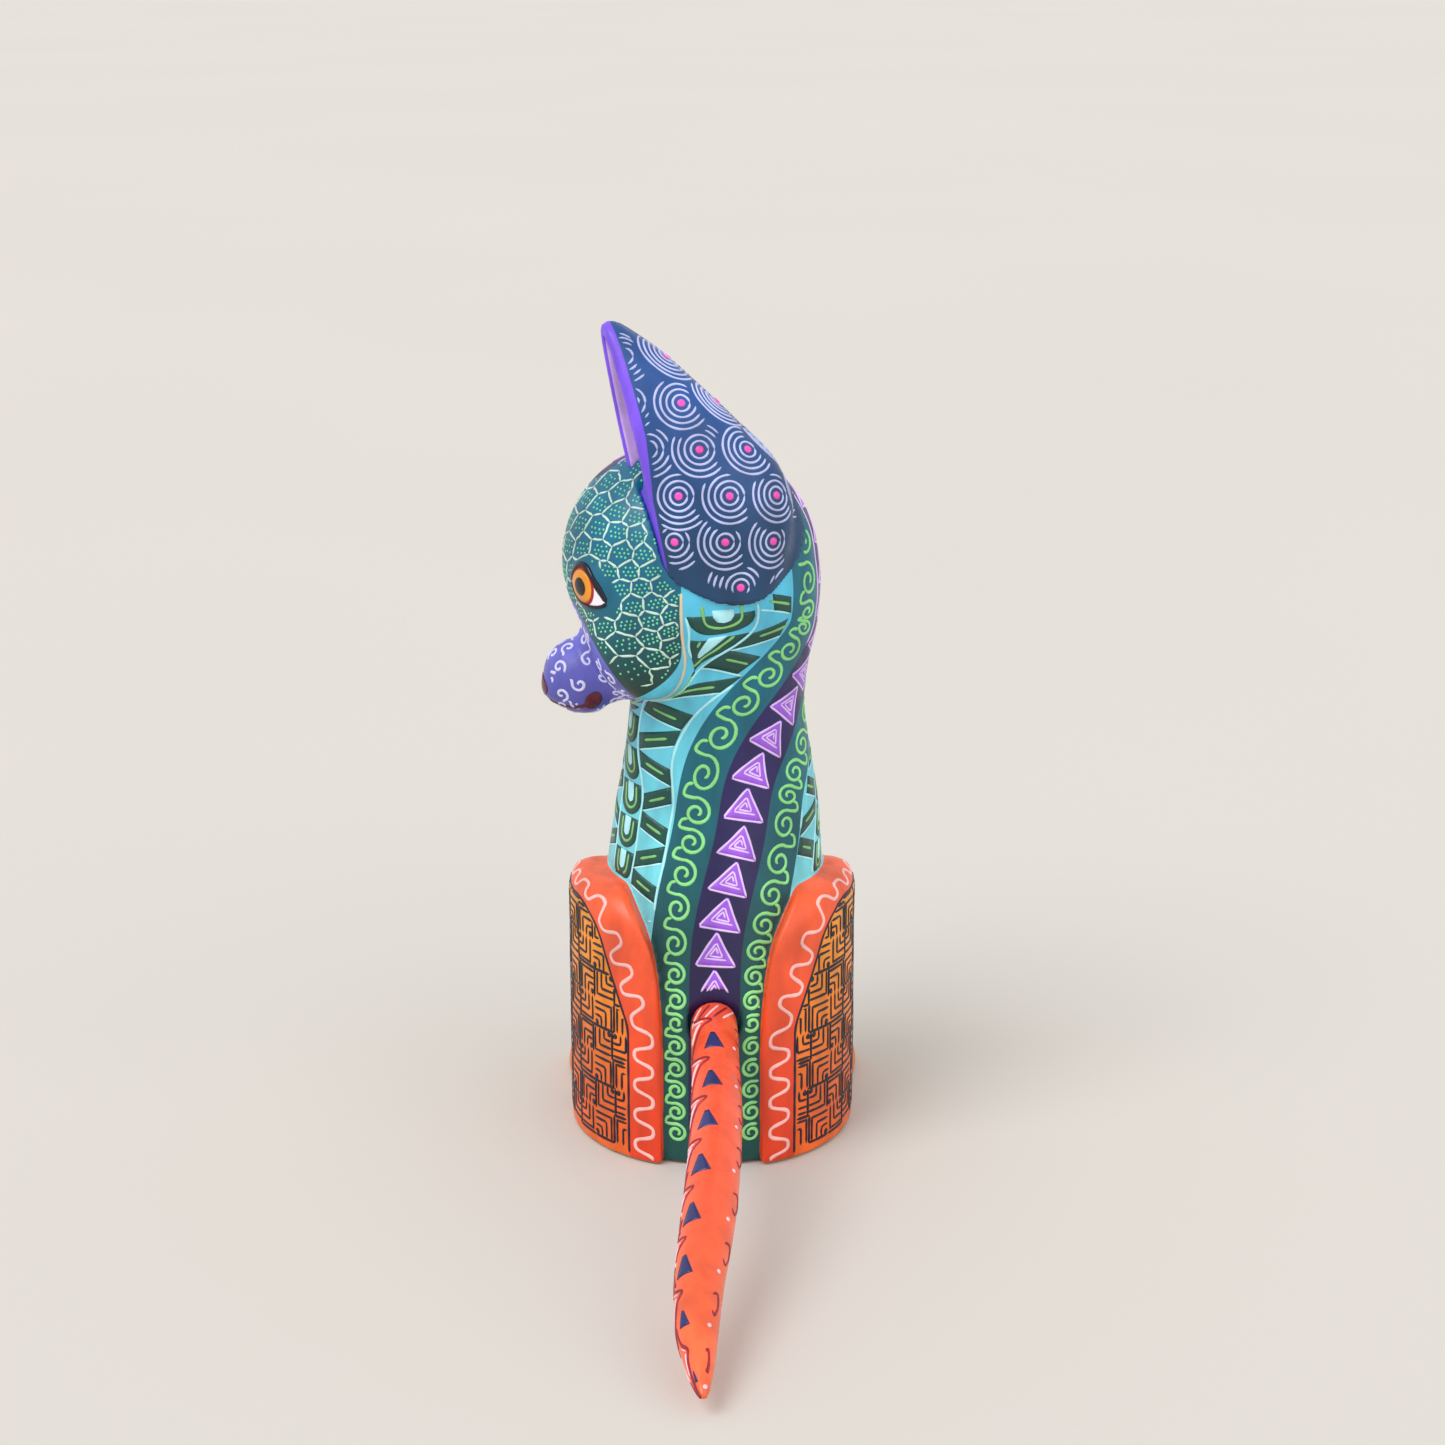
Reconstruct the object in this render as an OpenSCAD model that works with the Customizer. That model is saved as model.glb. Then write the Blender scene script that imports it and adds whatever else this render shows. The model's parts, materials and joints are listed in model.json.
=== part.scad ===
// Seated fox-like carved animal with its head turned to its left, in painted copal wood.
// One block is the animal; both ears and the tail are carved apart and pegged on.
// Millimetres, +Z up. The origin is on the flat underside, below the middle of the
// body. The animal sits facing -Y, its head looks along +X and its tail lies along +Y.

/* [Base and haunches] */
// Radius of the round plan that both haunches share
haunch_r = 24.1; // [23.6:0.1:24.6]
// Height of the haunches
haunch_h = 46.6; // [45:0.1:49]
// Rounding along the top edge of a haunch
haunch_round = 5; // [3:0.5:7]
// Distance of each hind paw from the middle plane
hind_paw_x = 19.6; // [18.5:0.1:20.5]

/* [Head] */
// Height of the skull's centre
head_z = 99; // [98:0.5:100]
// Roll of the head towards the side it looks away from
head_roll = 9.5; // [6:0.5:12]
// Half sizes of the skull: length, width and height
skull = [20.7, 16.5, 19.5]; // [16:0.1:21]

/* [Ears] */
// Thickness of the cupped ear's wall
ear_wall = 1.9; // [1.6:0.1:2.4]
// Radius of the two pins that hold each ear
ear_pin_r = 1; // [0.8:0.1:1.1]
// How far an ear pin goes into the head
ear_pin_in_head = 6; // [4:0.5:7]
// How far an ear pin goes into the ear
ear_pin_in_ear = 4; // [3:0.5:4]

/* [Tail] */
// Length of the tail from its root to its tip
tail_len = 84; // [76:0.5:85]
// Slope of the tail's socket below level
tail_slope = 15.5; // [14:0.5:16]
// Radius of the tail's peg
peg_r = 2.45; // [2.4:0.01:2.47]
// Radius of the holes that take the peg
socket_r = 2.5; // [2.5:0.01:2.55]
// Depth of the socket in the body
socket_depth = 14; // [12:0.5:16]
// Depth of the hole in the tail
tail_hole_depth = 10; // [8:0.5:11]

/* [Hidden] */
paint_teal = "#12808a";
paint_blue = "#2458a8";
paint_orange = "#f4552c";
bare_wood = "#d9bd8b";
head_at = [3.5, -2, head_z];
plan_centre_y = -5;                 // centre of the haunches' round plan
seat_point = [-4.7, 9.8, 6.6];      // a point on the left ear's seat, from the skull's centre
seat_lean = 63.9;                   // angle of the seat's normal from upright
seat_turn = 106.2;                  // direction of the seat's normal, seen from above
ear_pin_spread = 6;                 // each pin's distance from the seat's middle
ear_pin_drop = 3;                   // the pins' distance below the seat's middle
tail_root = [-0.5, 16, 26];         // middle of the flat that the tail's root turns against
root_gap = 0.15;                    // between the tail's root face and the body
pocket_r = 4.35;                    // shallow round pocket that the tail's root sits in
peg_end_gap = 0.2;                  // free space at each end of the peg
plane_size = 70;                    // size of the blocks that cut flat seats
inner_wall_z = 12;                  // from here up an ear's inner wall rests on the skull

// Stations of the trunk and neck: height, right side, left side, front, back
trunk_rows = [
    [0, -21.0, 21.0, -22, 17.3],
    [8, -21.5, 21.5, -23, 17.9],
    [20, -21.4, 21.4, -23.5, 17.9],
    [32, -20.4, 20.0, -24, 16.8],
    [42, -19.0, 18.0, -24, 14.9],
    [50, -18.3, 17.0, -22.6, 13.2],
    [58, -17.6, 15.8, -20, 11.3],
    [66, -16.4, 14.3, -17.6, 9.9],
    [74, -15.5, 13.4, -16, 9.4],
    [82, -16.2, 13.2, -15.5, 10.2],
    [90, -17.5, 13.0, -15, 11.5],
    [98, -16.6, 12.0, -14, 11.5],
    [106, -12, 9.0, -9, 8]
];
// Stations of the left foreleg: height, inner side, outer side, front, back
foreleg_rows = [
    [0, 2.6, 14.2, -30.0, -16],
    [10, 2.8, 13.6, -29.0, -16],
    [24, 2.2, 14.2, -28.2, -16],
    [36, 1.6, 15.0, -27.2, -14],
    [46, 1.8, 14.6, -24.6, -10],
    [54, 4.0, 12.0, -20.0, -8]
];
// Stations of the left ear from the skull's centre: height, back, front, inner, outer
ear_rows = [
    [-10, -9, 0, 9, 14.2],
    [-7, -12, 3, 7, 15.7],
    [-2, -14.6, 7, 5, 16.9],
    [4, -16.2, 10, 4, 17.8],
    [10, -16.2, 12, 3.4, 18.1],
    [16, -13.7, 13.6, 3.6, 17.5],
    [22, -7.8, 14.8, 4, 16.4],
    [28, -1.4, 15.4, 4.8, 14.9],
    [33, 4.2, 15.4, 5.7, 13.2],
    [35.6, 7.8, 15, 6.4, 11.9],
    [37.3, 10.4, 14, 7.3, 10.5],
    [38, 11.6, 12.8, 8.3, 9.4]
];
// Stations of the tail along its socket's axis: part of its length, sideways, upwards, radius
tail_rows = [
    [0, 0, 0, 3.5],
    [0.04, 0, 0, 3.8],
    [0.16, -0.2, 0.5, 3.85],
    [0.32, -0.4, 1.3, 4.0],
    [0.5, 0.2, 1.6, 4.1],
    [0.64, 1.2, 1.2, 4.0],
    [0.76, 2.1, 0.6, 3.6],
    [0.86, 2.3, 0.1, 3.0],
    [0.93, 1.9, -0.1, 2.1],
    [0.98, 1.5, -0.1, 1.1],
    [1, 1.3, -0.1, 0.4]
];

// Catmull-Rom curve through rows of numbers, with the given steps between two rows
function between(a, b, c, d, t) =
    0.5 * (2 * b + (c - a) * t + (2 * a - 5 * b + 4 * c - d) * t * t
           + (3 * b - a - 3 * c + d) * t * t * t);
function smooth_rows(rows, steps) = let (last = len(rows) - 1) [
    for (i = [0 : last - 1], s = [0 : steps - 1])
        between(rows[max(i - 1, 0)], rows[i], rows[i + 1], rows[min(i + 2, last)], s / steps),
    rows[last]
];
// Level ring around a box that is given by its two sides in X and in Y
function box_ring(z, x0, x1, y0, y1, n) = [
    for (j = [0 : n - 1]) let (a = 360 * j / n)
        [(x0 + x1) / 2 + (x1 - x0) / 2 * cos(a), (y0 + y1) / 2 + (y1 - y0) / 2 * sin(a), z]
];

// Closed solid through a stack of rings, each counter-clockwise seen from above
module loft(rings) {
    n = len(rings[0]);
    top = (len(rings) - 1) * n;
    walls = [
        for (i = [0 : len(rings) - 2], j = [0 : n - 1])
            let (a = i * n + j, b = i * n + (j + 1) % n)
            each [[a, a + n, b + n], [a, b + n, b]]
    ];
    polyhedron([for (r = rings) each r],
               concat(walls, [[for (j = [0 : n - 1]) j]], [[for (j = [n - 1 : -1 : 0]) top + j]]));
}

// Solid through stations of height and box
module box_loft(rows, steps, n) {
    loft([for (r = smooth_rows(rows, steps)) box_ring(r[0], r[1], r[2], r[3], r[4], n)]);
}

module both_sides() {
    children();
    mirror([1, 0, 0]) children();
}

module on_head() {
    translate(head_at) rotate([head_roll, 0, 0]) children();
}

// Frame of an ear's seat: +Z leaves the head at right angles to the seat
module on_seat(side) {
    on_head() scale([1, side, 1]) translate(seat_point) rotate([0, seat_lean, seat_turn]) children();
}

// Frame of the tail's socket: +Z leaves the body along the peg
module on_tail_axis() {
    translate(tail_root) rotate([-90 - tail_slope, 0, 0]) children();
}

// Round dome over both haunches, with a soft top edge
module haunch_dome() {
    translate([0, plan_centre_y, 0]) rotate_extrude($fn = 72) {
        square([haunch_r, haunch_h - haunch_round]);
        square([haunch_r - haunch_round, haunch_h]);
        translate([haunch_r - haunch_round, haunch_h - haunch_round])
            circle(haunch_round, $fn = 32);
    }
}

// Side view of a haunch: back, top, knee and the hollow above the paw
module haunch_side() {
    offset(r = 6, $fn = 32) offset(delta = -6)
        polygon([[-19.5, -8], [-18.5, 12], [-23, 24], [-20, 34], [-7, haunch_h + 0.2],
                 [14, haunch_h + 0.2], [22, 36], [22, -8]]);
}

// Slot between the haunches at the back, wider towards their top
module back_slot() {
    translate([0, 40, 0]) rotate([90, 0, 0]) linear_extrude(40 + 4)
        polygon([[-8.2, -1], [-8.4, 28], [-9.4, 38], [-13, 46], [-16, haunch_h + 1],
                 [16, haunch_h + 1], [13, 46], [9.4, 38], [8.4, 28], [8.2, -1]]);
}

module haunches() {
    difference() {
        intersection() {
            haunch_dome();
            translate([-30, 0, 0]) rotate([90, 0, 90]) linear_extrude(60) haunch_side();
        }
        back_slot();
    }
}

module paw(x, y, half) {
    translate([x, y, 0]) scale(half) sphere(1, $fn = 28);
}

module skull_and_muzzle() {
    on_head() {
        scale(skull) sphere(1, $fn = 52);
        for (side = [-1, 1]) translate([7, 6.5 * side, -13.5]) sphere(8.8, $fn = 28);
        hull() {
            translate([11, 0, -14]) sphere(9.2, $fn = 28);
            translate([18, 0, -19.6]) sphere(6.4, $fn = 28);
        }
        hull() {
            translate([8, 0, -17]) sphere(7.8, $fn = 28);
            translate([17, 0, -21.6]) sphere(4.4, $fn = 28);
        }
    }
}

// The carved block before its holes are drilled, with a flat seat for each ear
module body_blank() {
    difference() {
        union() {
            box_loft(trunk_rows, 3, 56);
            haunches();
            both_sides() {
                box_loft(foreleg_rows, 3, 24);
                paw(8.4, -25.6, [6.6, 6.9, 6.4]);
                paw(hind_paw_x, -21.5, [6.6, 9.6, 8]);
            }
            skull_and_muzzle();
        }
        for (side = [-1, 1]) difference() {
            on_seat(side) translate([-plane_size / 2, -plane_size / 2, 0]) cube([plane_size, plane_size, 30]);
            on_head() scale([1, side, 1]) ear_front();
        }
        translate([-plane_size / 2, -plane_size / 2, -20]) cube([plane_size, plane_size, 20]);
    }
}

// Both pins of one ear, or their holes
module ear_pin_pair(side, r) {
    for (across = [-ear_pin_spread, ear_pin_spread]) on_seat(side)
        translate([ear_pin_drop, across, -ear_pin_in_head])
            cylinder(h = ear_pin_in_head + ear_pin_in_ear, r = r, $fn = 32);
}

module tail_socket() {
    on_tail_axis() {
        translate([0, 0, -socket_depth]) cylinder(h = socket_depth + 6, r = socket_r, $fn = 48);
        cylinder(h = 6, r = pocket_r, $fn = 48);
    }
}

module carved_body() {
    color(paint_teal) difference() {
        resize([0, 0, 0]) body_blank();
        tail_socket();
        ear_pin_pair(-1, ear_pin_r);
        ear_pin_pair(1, ear_pin_r);
    }
}

// Hollow of the cupped ear, an offset of its outside from the skull's height upwards
module ear_hollow() {
    rows = [for (r = ear_rows) if (r[0] > 8 && r[0] < 37)
        [r[0] + ear_wall / 2, r[1] + ear_wall * 1.3, r[2] + 12, r[3] + ear_wall, r[4] - ear_wall]];
    box_loft(rows, 3, 32);
}

// Everything in front of the ear's opening, which looks forwards and a little outwards
module ear_front() {
    translate([6.4, 15, 10]) rotate([0, 0, 16.2]) rotate([0, 11.6, 0])
        translate([0, -plane_size / 2, -plane_size / 2]) cube(plane_size);
}

// An ear above its flat seat, with its inner wall carried down to the top of the skull
module ear_blank(side) {
    difference() {
        on_head() scale([1, side, 1]) difference() {
            box_loft(ear_rows, 3, 40);
            ear_hollow();
            ear_front();
        }
        intersection() {
            on_seat(side) translate([-plane_size / 2, -plane_size / 2, -plane_size]) cube(plane_size);
            on_head() union() {
                scale(skull) sphere(1, $fn = 52);
                translate([-plane_size / 2, -plane_size / 2, inner_wall_z - plane_size]) cube(plane_size);
            }
        }
    }
}

module ear(side) {
    color(paint_blue) difference() {
        resize([0, 0, 0]) ear_blank(side);
        ear_pin_pair(side, ear_pin_r);
    }
}

module ear_left() {
    ear(1);
}

module ear_right() {
    ear(-1);
}

module ear_pins_left() {
    color(bare_wood) ear_pin_pair(1, ear_pin_r);
}

module ear_pins_right() {
    color(bare_wood) ear_pin_pair(-1, ear_pin_r);
}

module tail_peg() {
    color(bare_wood) on_tail_axis()
        translate([0, 0, peg_end_gap - socket_depth])
            cylinder(h = socket_depth + root_gap + tail_hole_depth - 2 * peg_end_gap, r = peg_r, $fn = 48);
}

module tail_blank() {
    loft([
        for (r = smooth_rows(tail_rows, 3))
            box_ring(r[0] * tail_len, r[1] - r[3], r[1] + r[3], -r[2] - r[3], -r[2] + r[3], 28)
    ]);
}

module tail() {
    color(paint_orange) on_tail_axis() translate([0, 0, root_gap]) difference() {
        resize([0, 0, 0]) tail_blank();
        translate([0, 0, -1]) cylinder(h = tail_hole_depth + 1, r = socket_r, $fn = 48);
    }
}

carved_body();
ear_left();
ear_right();
ear_pins_left();
ear_pins_right();
tail_peg();
tail();
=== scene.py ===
import json
import math
import random

import bpy
import numpy as np
import openvdb as vdb
from mathutils import Euler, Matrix
from mathutils.kdtree import KDTree


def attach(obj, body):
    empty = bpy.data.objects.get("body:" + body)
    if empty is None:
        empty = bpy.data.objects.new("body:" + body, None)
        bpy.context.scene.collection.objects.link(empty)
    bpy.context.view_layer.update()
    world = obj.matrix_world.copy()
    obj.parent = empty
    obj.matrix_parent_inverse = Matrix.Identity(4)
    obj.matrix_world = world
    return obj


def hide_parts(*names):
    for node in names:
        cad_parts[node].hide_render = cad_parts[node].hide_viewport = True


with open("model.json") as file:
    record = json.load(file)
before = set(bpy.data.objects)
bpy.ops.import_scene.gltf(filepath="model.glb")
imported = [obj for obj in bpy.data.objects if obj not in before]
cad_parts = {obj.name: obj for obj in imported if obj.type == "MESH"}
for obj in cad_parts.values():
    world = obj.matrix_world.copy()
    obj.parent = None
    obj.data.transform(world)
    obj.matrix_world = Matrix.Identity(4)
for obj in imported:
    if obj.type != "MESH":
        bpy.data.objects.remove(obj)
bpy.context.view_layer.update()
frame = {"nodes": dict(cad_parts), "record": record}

MM = 0.001

# ---------------------------------------------------------------- camera

CAMERA_AT = (-0.0018, 0.441, 0.2065)
CAMERA_PITCH = math.radians(17)
CAMERA_LENS = 69.8


def add_camera():
    data = bpy.data.cameras.new("camera")
    data.lens = CAMERA_LENS
    data.sensor_width = 36
    data.clip_start = 0.01
    camera = bpy.data.objects.new("camera", data)
    camera.location = CAMERA_AT
    camera.rotation_euler = Euler((math.pi / 2 - CAMERA_PITCH, 0, math.pi))
    bpy.context.scene.collection.objects.link(camera)
    bpy.context.scene.camera = camera


add_camera()

# ---------------------------------------------------------------- the carving as distances
# Every shape is a function of (x, y, z) arrays in millimetres that gives the distance to its
# surface, negative inside. The same functions make the meshes and hold the paint on them.

HEAD_AT = (3.5, -2.0, 99.0)
HEAD_ROLL = math.radians(9.5)
SKULL = (20.7, 16.5, 19.5)
HAUNCH_R = 24.1
HAUNCH_H = 46.6
HAUNCH_ROUND = 5.0
PLAN_CENTRE_Y = -5.0
EAR_WALL = 1.9
SEAT_POINT = (-4.7, 9.8, 6.6)
SEAT_LEAN = math.radians(63.9)
SEAT_TURN = math.radians(106.2)
SEAT_NORMAL = (
    math.sin(SEAT_LEAN) * math.cos(SEAT_TURN),
    math.sin(SEAT_LEAN) * math.sin(SEAT_TURN),
    math.cos(SEAT_LEAN),
)
SEAT_SINK = 0.3
EAR_PROUD = 0.25
INNER_WALL_Z = 12.0
OPENING_POINT = (6.4, 15.0, 10.0)
OPENING_NORMAL = (0.941, 0.273, -0.201)
MUZZLE_ROOT = (11.8, 0.0, -14.8)
MUZZLE_TIP = (18.0, 0.0, -18.8)

joint = {j["name"]: j for j in frame["record"]["behaviour"]["joints"]}["tail_twist"]
TAIL_ROOT = np.array(joint["pos_m"]) / MM
TAIL_AXIS = np.array(joint["axis"])
TAIL_LEN = 84.0
TAIL_POCKET_R = 4.35
ROOT_GAP = 0.15
SOCKET_R = 2.5
SOCKET_DEPTH = 14.0
TAIL_HOLE_DEPTH = 10.0

# Height, right side, left side, front and back of the trunk and neck
TRUNK_ROWS = (
    (0, -21.0, 21.0, -22, 17.3),
    (8, -21.5, 21.5, -23, 17.9),
    (20, -21.4, 21.4, -23.5, 17.9),
    (32, -20.4, 20.0, -24, 16.8),
    (42, -19.0, 18.0, -24, 14.9),
    (50, -18.3, 17.0, -22.6, 13.2),
    (58, -17.6, 15.8, -20, 11.3),
    (66, -16.4, 14.3, -17.6, 9.9),
    (74, -15.3, 13.4, -16, 9.4),
    (82, -16.0, 13.0, -15.5, 10.2),
    (90, -17.4, 12.6, -15, 11.2),
    (98, -16.8, 11.5, -14, 11),
    (106, -12, 8.0, -9, 7.5),
)
# Height, inner side, outer side, front and back of a foreleg
FORELEG_ROWS = (
    (0, 2.6, 14.2, -29.6, -16),
    (10, 2.8, 13.6, -29.0, -16),
    (24, 2.2, 14.2, -28.2, -16),
    (36, 1.6, 15.0, -27.2, -14),
    (46, 1.8, 14.6, -24.6, -10),
    (54, 4.0, 12.0, -20.0, -8),
)
# Height from the skull's centre, back, front, inner and outer side of an ear
EAR_ROWS = (
    (-10, -9, 0, 9, 14.2),
    (-7, -12, 3, 7, 15.7),
    (-2, -14.6, 7, 5, 16.9),
    (4, -16.2, 10, 4, 17.8),
    (10, -16.2, 12, 3.4, 18.1),
    (16, -13.7, 13.6, 3.6, 17.5),
    (22, -7.8, 14.8, 4, 16.4),
    (28, -1.4, 15.4, 4.8, 14.9),
    (33, 4.2, 15.4, 5.7, 13.2),
    (35.6, 7.8, 15, 6.4, 11.9),
    (37.3, 10.4, 14, 7.3, 10.5),
    (38, 11.6, 12.8, 8.3, 9.4),
)
# Part of the tail's length, sideways, upwards and radius
TAIL_ROWS = (
    (0, 0, 0, 3.5),
    (0.04, 0, 0, 3.8),
    (0.16, -0.2, 0.5, 3.85),
    (0.32, -0.4, 1.3, 4.0),
    (0.5, 0.2, 1.6, 4.1),
    (0.64, 1.2, 1.2, 4.0),
    (0.76, 2.1, 0.6, 3.6),
    (0.86, 2.3, 0.1, 3.0),
    (0.93, 1.9, -0.1, 2.1),
    (0.98, 1.5, -0.1, 1.1),
    (1, 1.3, -0.1, 0.4),
)


def spline(rows, steps=24):
    """Catmull-Rom curve through rows of numbers."""
    rows = np.array(rows, float)
    ends = np.vstack([rows[0], rows, rows[-1]])
    t = np.linspace(0, 1, steps, endpoint=False)[:, None]
    out = []
    for a, b, c, d in zip(ends, ends[1:], ends[2:], ends[3:]):
        out.append(0.5 * (2 * b + (c - a) * t + (2 * a - 5 * b + 4 * c - d) * t**2
                          + (3 * b - a - 3 * c + d) * t**3))
    return np.vstack(out + [rows[-1:]])


def smooth_min(a, b, k):
    h = np.clip(0.5 + 0.5 * (b - a) / k, 0, 1)
    return b + (a - b) * h - k * h * (1 - h)


def smooth_max(a, b, k):
    return -smooth_min(-a, -b, k)


def ellipsoid(p, centre, radii):
    q = [(c - m) / r for c, m, r in zip(p, centre, radii)]
    inner = np.sqrt(sum(c * c for c in q)) + 1e-6
    slope = np.sqrt(sum((c / r) ** 2 for c, r in zip(q, radii))) + 1e-6
    return inner * (inner - 1) / slope


def round_cone(p, a, b, ra, rb):
    """Solid around the line from a to b, whose radius goes evenly from ra to rb."""
    axis = np.subtract(b, a)
    length = np.linalg.norm(axis)
    axis = axis / length
    rel = [c - m for c, m in zip(p, a)]
    along = sum(c * m for c, m in zip(rel, axis))
    off = np.sqrt(np.maximum(sum(c * c for c in rel) - along**2, 0))
    slope = (ra - rb) / length
    lean = math.sqrt(1 - slope**2)
    t = np.clip(along + off * slope / lean, 0, length)
    return np.sqrt(off**2 + (along - t) ** 2) - (ra - slope * t)


class Loft:
    """Level oval sections whose four sides follow a smooth curve through rows."""

    def __init__(self, rows):
        self.table = spline(rows)

    def __call__(self, p):
        x, y, z = p
        z0, x0, x1, y0, y1 = self.table.T
        x0, x1, y0, y1 = (np.interp(z, z0, side) for side in (x0, x1, y0, y1))
        a = np.maximum((x1 - x0) / 2, 0.05)
        b = np.maximum((y1 - y0) / 2, 0.05)
        qx = (x - (x0 + x1) / 2) / a
        qy = (y - (y0 + y1) / 2) / b
        inner = np.sqrt(qx**2 + qy**2) + 1e-6
        slope = np.sqrt((qx / a) ** 2 + (qy / b) ** 2) + 1e-6
        d = inner * (inner - 1) / slope
        return np.maximum(d, np.maximum(z0[0] - z, z - z0[-1]))


def polygon_distance(u, v, corners):
    """Distance to a polygon in a plane, negative inside."""
    u, v = np.broadcast_arrays(u, v)
    best = np.full(u.shape, 1e9)
    inside = np.zeros(u.shape, bool)
    for (u0, v0), (u1, v1) in zip(corners, corners[1:] + corners[:1]):
        eu, ev = u1 - u0, v1 - v0
        t = np.clip(((u - u0) * eu + (v - v0) * ev) / (eu * eu + ev * ev), 0, 1)
        best = np.minimum(best, (u - u0 - t * eu) ** 2 + (v - v0 - t * ev) ** 2)
        if ev:
            crosses = (v0 > v) != (v1 > v)
            inside ^= crosses & (u < u0 + (v - v0) * eu / ev)
    return np.where(inside, -1, 1) * np.sqrt(best)


trunk = Loft(TRUNK_ROWS)
foreleg = Loft(FORELEG_ROWS)
ear_outside = Loft(EAR_ROWS)

HAUNCH_SIDE = [(-13.5, -14), (-12.5, 12), (-17, 24), (-14, 31), (-5, HAUNCH_H - 5.8),
               (8, HAUNCH_H - 5.8), (16, 33), (16, -14)]
SLOT_EDGE = spline([(8.2, -20), (8.2, 10), (8.4, 26), (9.8, 37), (13.4, 45), (18, 54)], 6)
BACK_SLOT = [(-30, -20)] + [tuple(point) for point in SLOT_EDGE] + [(-30, 54)]


def haunches(p):
    x, y, z = p
    r = np.sqrt(x**2 + (y - PLAN_CENTRE_Y) ** 2)
    qr = r - (HAUNCH_R - HAUNCH_ROUND)
    qz = z - (HAUNCH_H - HAUNCH_ROUND)
    dome = (np.minimum(np.maximum(qr, qz), 0)
            + np.sqrt(np.maximum(qr, 0) ** 2 + np.maximum(qz, 0) ** 2) - HAUNCH_ROUND)
    side = polygon_distance(y, z, HAUNCH_SIDE) - 6
    slot = polygon_distance(np.abs(x), z, BACK_SLOT)
    slot = np.maximum(slot, -y - 4)
    d = smooth_max(dome, side, 2.5)
    return smooth_max(d, -slot, 1.0)


def legs(p):
    x, y, z = p
    q = (np.abs(x), y, z)
    d = foreleg(q)
    for toe in (-1, 0, 1):
        d = smooth_min(d, ellipsoid(q, (8.4 + 3.5 * toe, -26.6 + 0.9 * toe**2, 1.6), (2.4, 5.6, 4.0)), 0.7)
    return d


def hind_paws(p):
    x, y, z = p
    q = (np.abs(x), y, z)
    d = ellipsoid(q, (19.4, -19.5, 1.0), (5.6, 8.0, 7.0))
    for toe in (-1, 0, 1):
        d = smooth_min(d, ellipsoid(q, (20.0 + 3.3 * toe, -24.6 + 0.8 * toe**2, 1.2), (2.4, 6.0, 4.4)), 0.8)
    return d


def to_head(p):
    """Into the head's own frame: origin at the skull's centre, x forwards, y to its left."""
    x, y, z = (c - m for c, m in zip(p, HEAD_AT))
    s, c = math.sin(HEAD_ROLL), math.cos(HEAD_ROLL)
    return x, y * c + z * s, z * c - y * s


def from_head(q):
    x, y, z = q
    s, c = math.sin(HEAD_ROLL), math.cos(HEAD_ROLL)
    return x + HEAD_AT[0], y * c - z * s + HEAD_AT[1], y * s + z * c + HEAD_AT[2]


def mirrored(q, side):
    return q[0], q[1] * side, q[2]


EYE_AT = (16.4, 9.8, -3.6)
EYE_NORMAL = np.array((0.81, 0.56, -0.16))


def head(q):
    """Skull, cheeks, muzzle and eyeballs in the head's own frame."""
    both = (q[0], np.abs(q[1]), q[2])
    d = ellipsoid(q, (0, 0, 0), SKULL)
    cheek = ellipsoid(both, (6.8, 6.6, -13.0), (8.6, 8.4, 9.4))
    d = smooth_min(d, cheek, 5)
    muzzle = round_cone(q, MUZZLE_ROOT, MUZZLE_TIP, 8.9, 5.9)
    jaw = round_cone(q, (8.0, 0.0, -16.6), (16.6, 0.0, -20.4), 7.3, 4.2)
    d = smooth_min(smooth_min(d, muzzle, 2.0), jaw, 3.0)
    nose = ellipsoid(q, (21.2, 0, -20.8), (2.8, 4.0, 2.6))
    d = smooth_min(d, nose, 1.2)
    eyeball = ellipsoid(both, tuple(np.array(EYE_AT) - 4.4 * EYE_NORMAL), (5.6, 5.6, 5.6))
    return smooth_min(d, eyeball, 1.5)


def seat(q):
    """Height above the left ear's flat seat."""
    return sum((c - m) * n for c, m, n in zip(q, SEAT_POINT, SEAT_NORMAL))


def opening(q):
    """Height in front of the left ear's opening."""
    return sum((c - m) * n for c, m, n in zip(q, OPENING_POINT, OPENING_NORMAL))


def knife_marks(p):
    """The shallow unevenness that a knife and sandpaper leave."""
    x, y, z = p
    return 0.05 * (np.sin(x / 1.9 + 1.3 * np.sin(z / 4.1)) * np.sin(y / 2.3 + 0.7) * np.sin(z / 3.1 + y / 5.3)
                   + np.sin(x / 4.7 + y / 3.9 + 2) * np.sin(z / 5.9 + x / 6.1))


def tail_frame(p):
    """Distance along the socket's axis, sideways and upwards from it."""
    rel = [c - m for c, m in zip(p, TAIL_ROOT)]
    along = rel[1] * TAIL_AXIS[1] + rel[2] * TAIL_AXIS[2]
    up = rel[2] * TAIL_AXIS[1] - rel[1] * TAIL_AXIS[2]
    return along, rel[0], up


def tail_hole(p, r, start, end):
    """Round hole along the socket's axis."""
    along, side, up = tail_frame(p)
    return np.maximum(np.sqrt(side**2 + up**2) - r, np.maximum(start - along, along - end))


def body_blank(p):
    """The carved block without its seats and holes."""
    d = smooth_min(trunk(p), haunches(p), 0.5)
    d = smooth_min(d, legs(p), 1.6)
    d = smooth_min(d, hind_paws(p), 1.0)
    return smooth_min(d, head(to_head(p)), 2.0) + knife_marks(p)


def body(p):
    q = to_head(p)
    d = body_blank(p)
    for side in (1, -1):
        near = mirrored(q, side)
        d = smooth_max(d, np.minimum(seat(near), -opening(near)), 0.3)
    d = smooth_max(d, -p[2] + 0 * d, 0.8)
    d = smooth_max(d, -tail_hole(p, TAIL_POCKET_R, 0, 8), 0.3)
    return np.maximum(d, -tail_hole(p, SOCKET_R, -SOCKET_DEPTH, 8))


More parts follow.
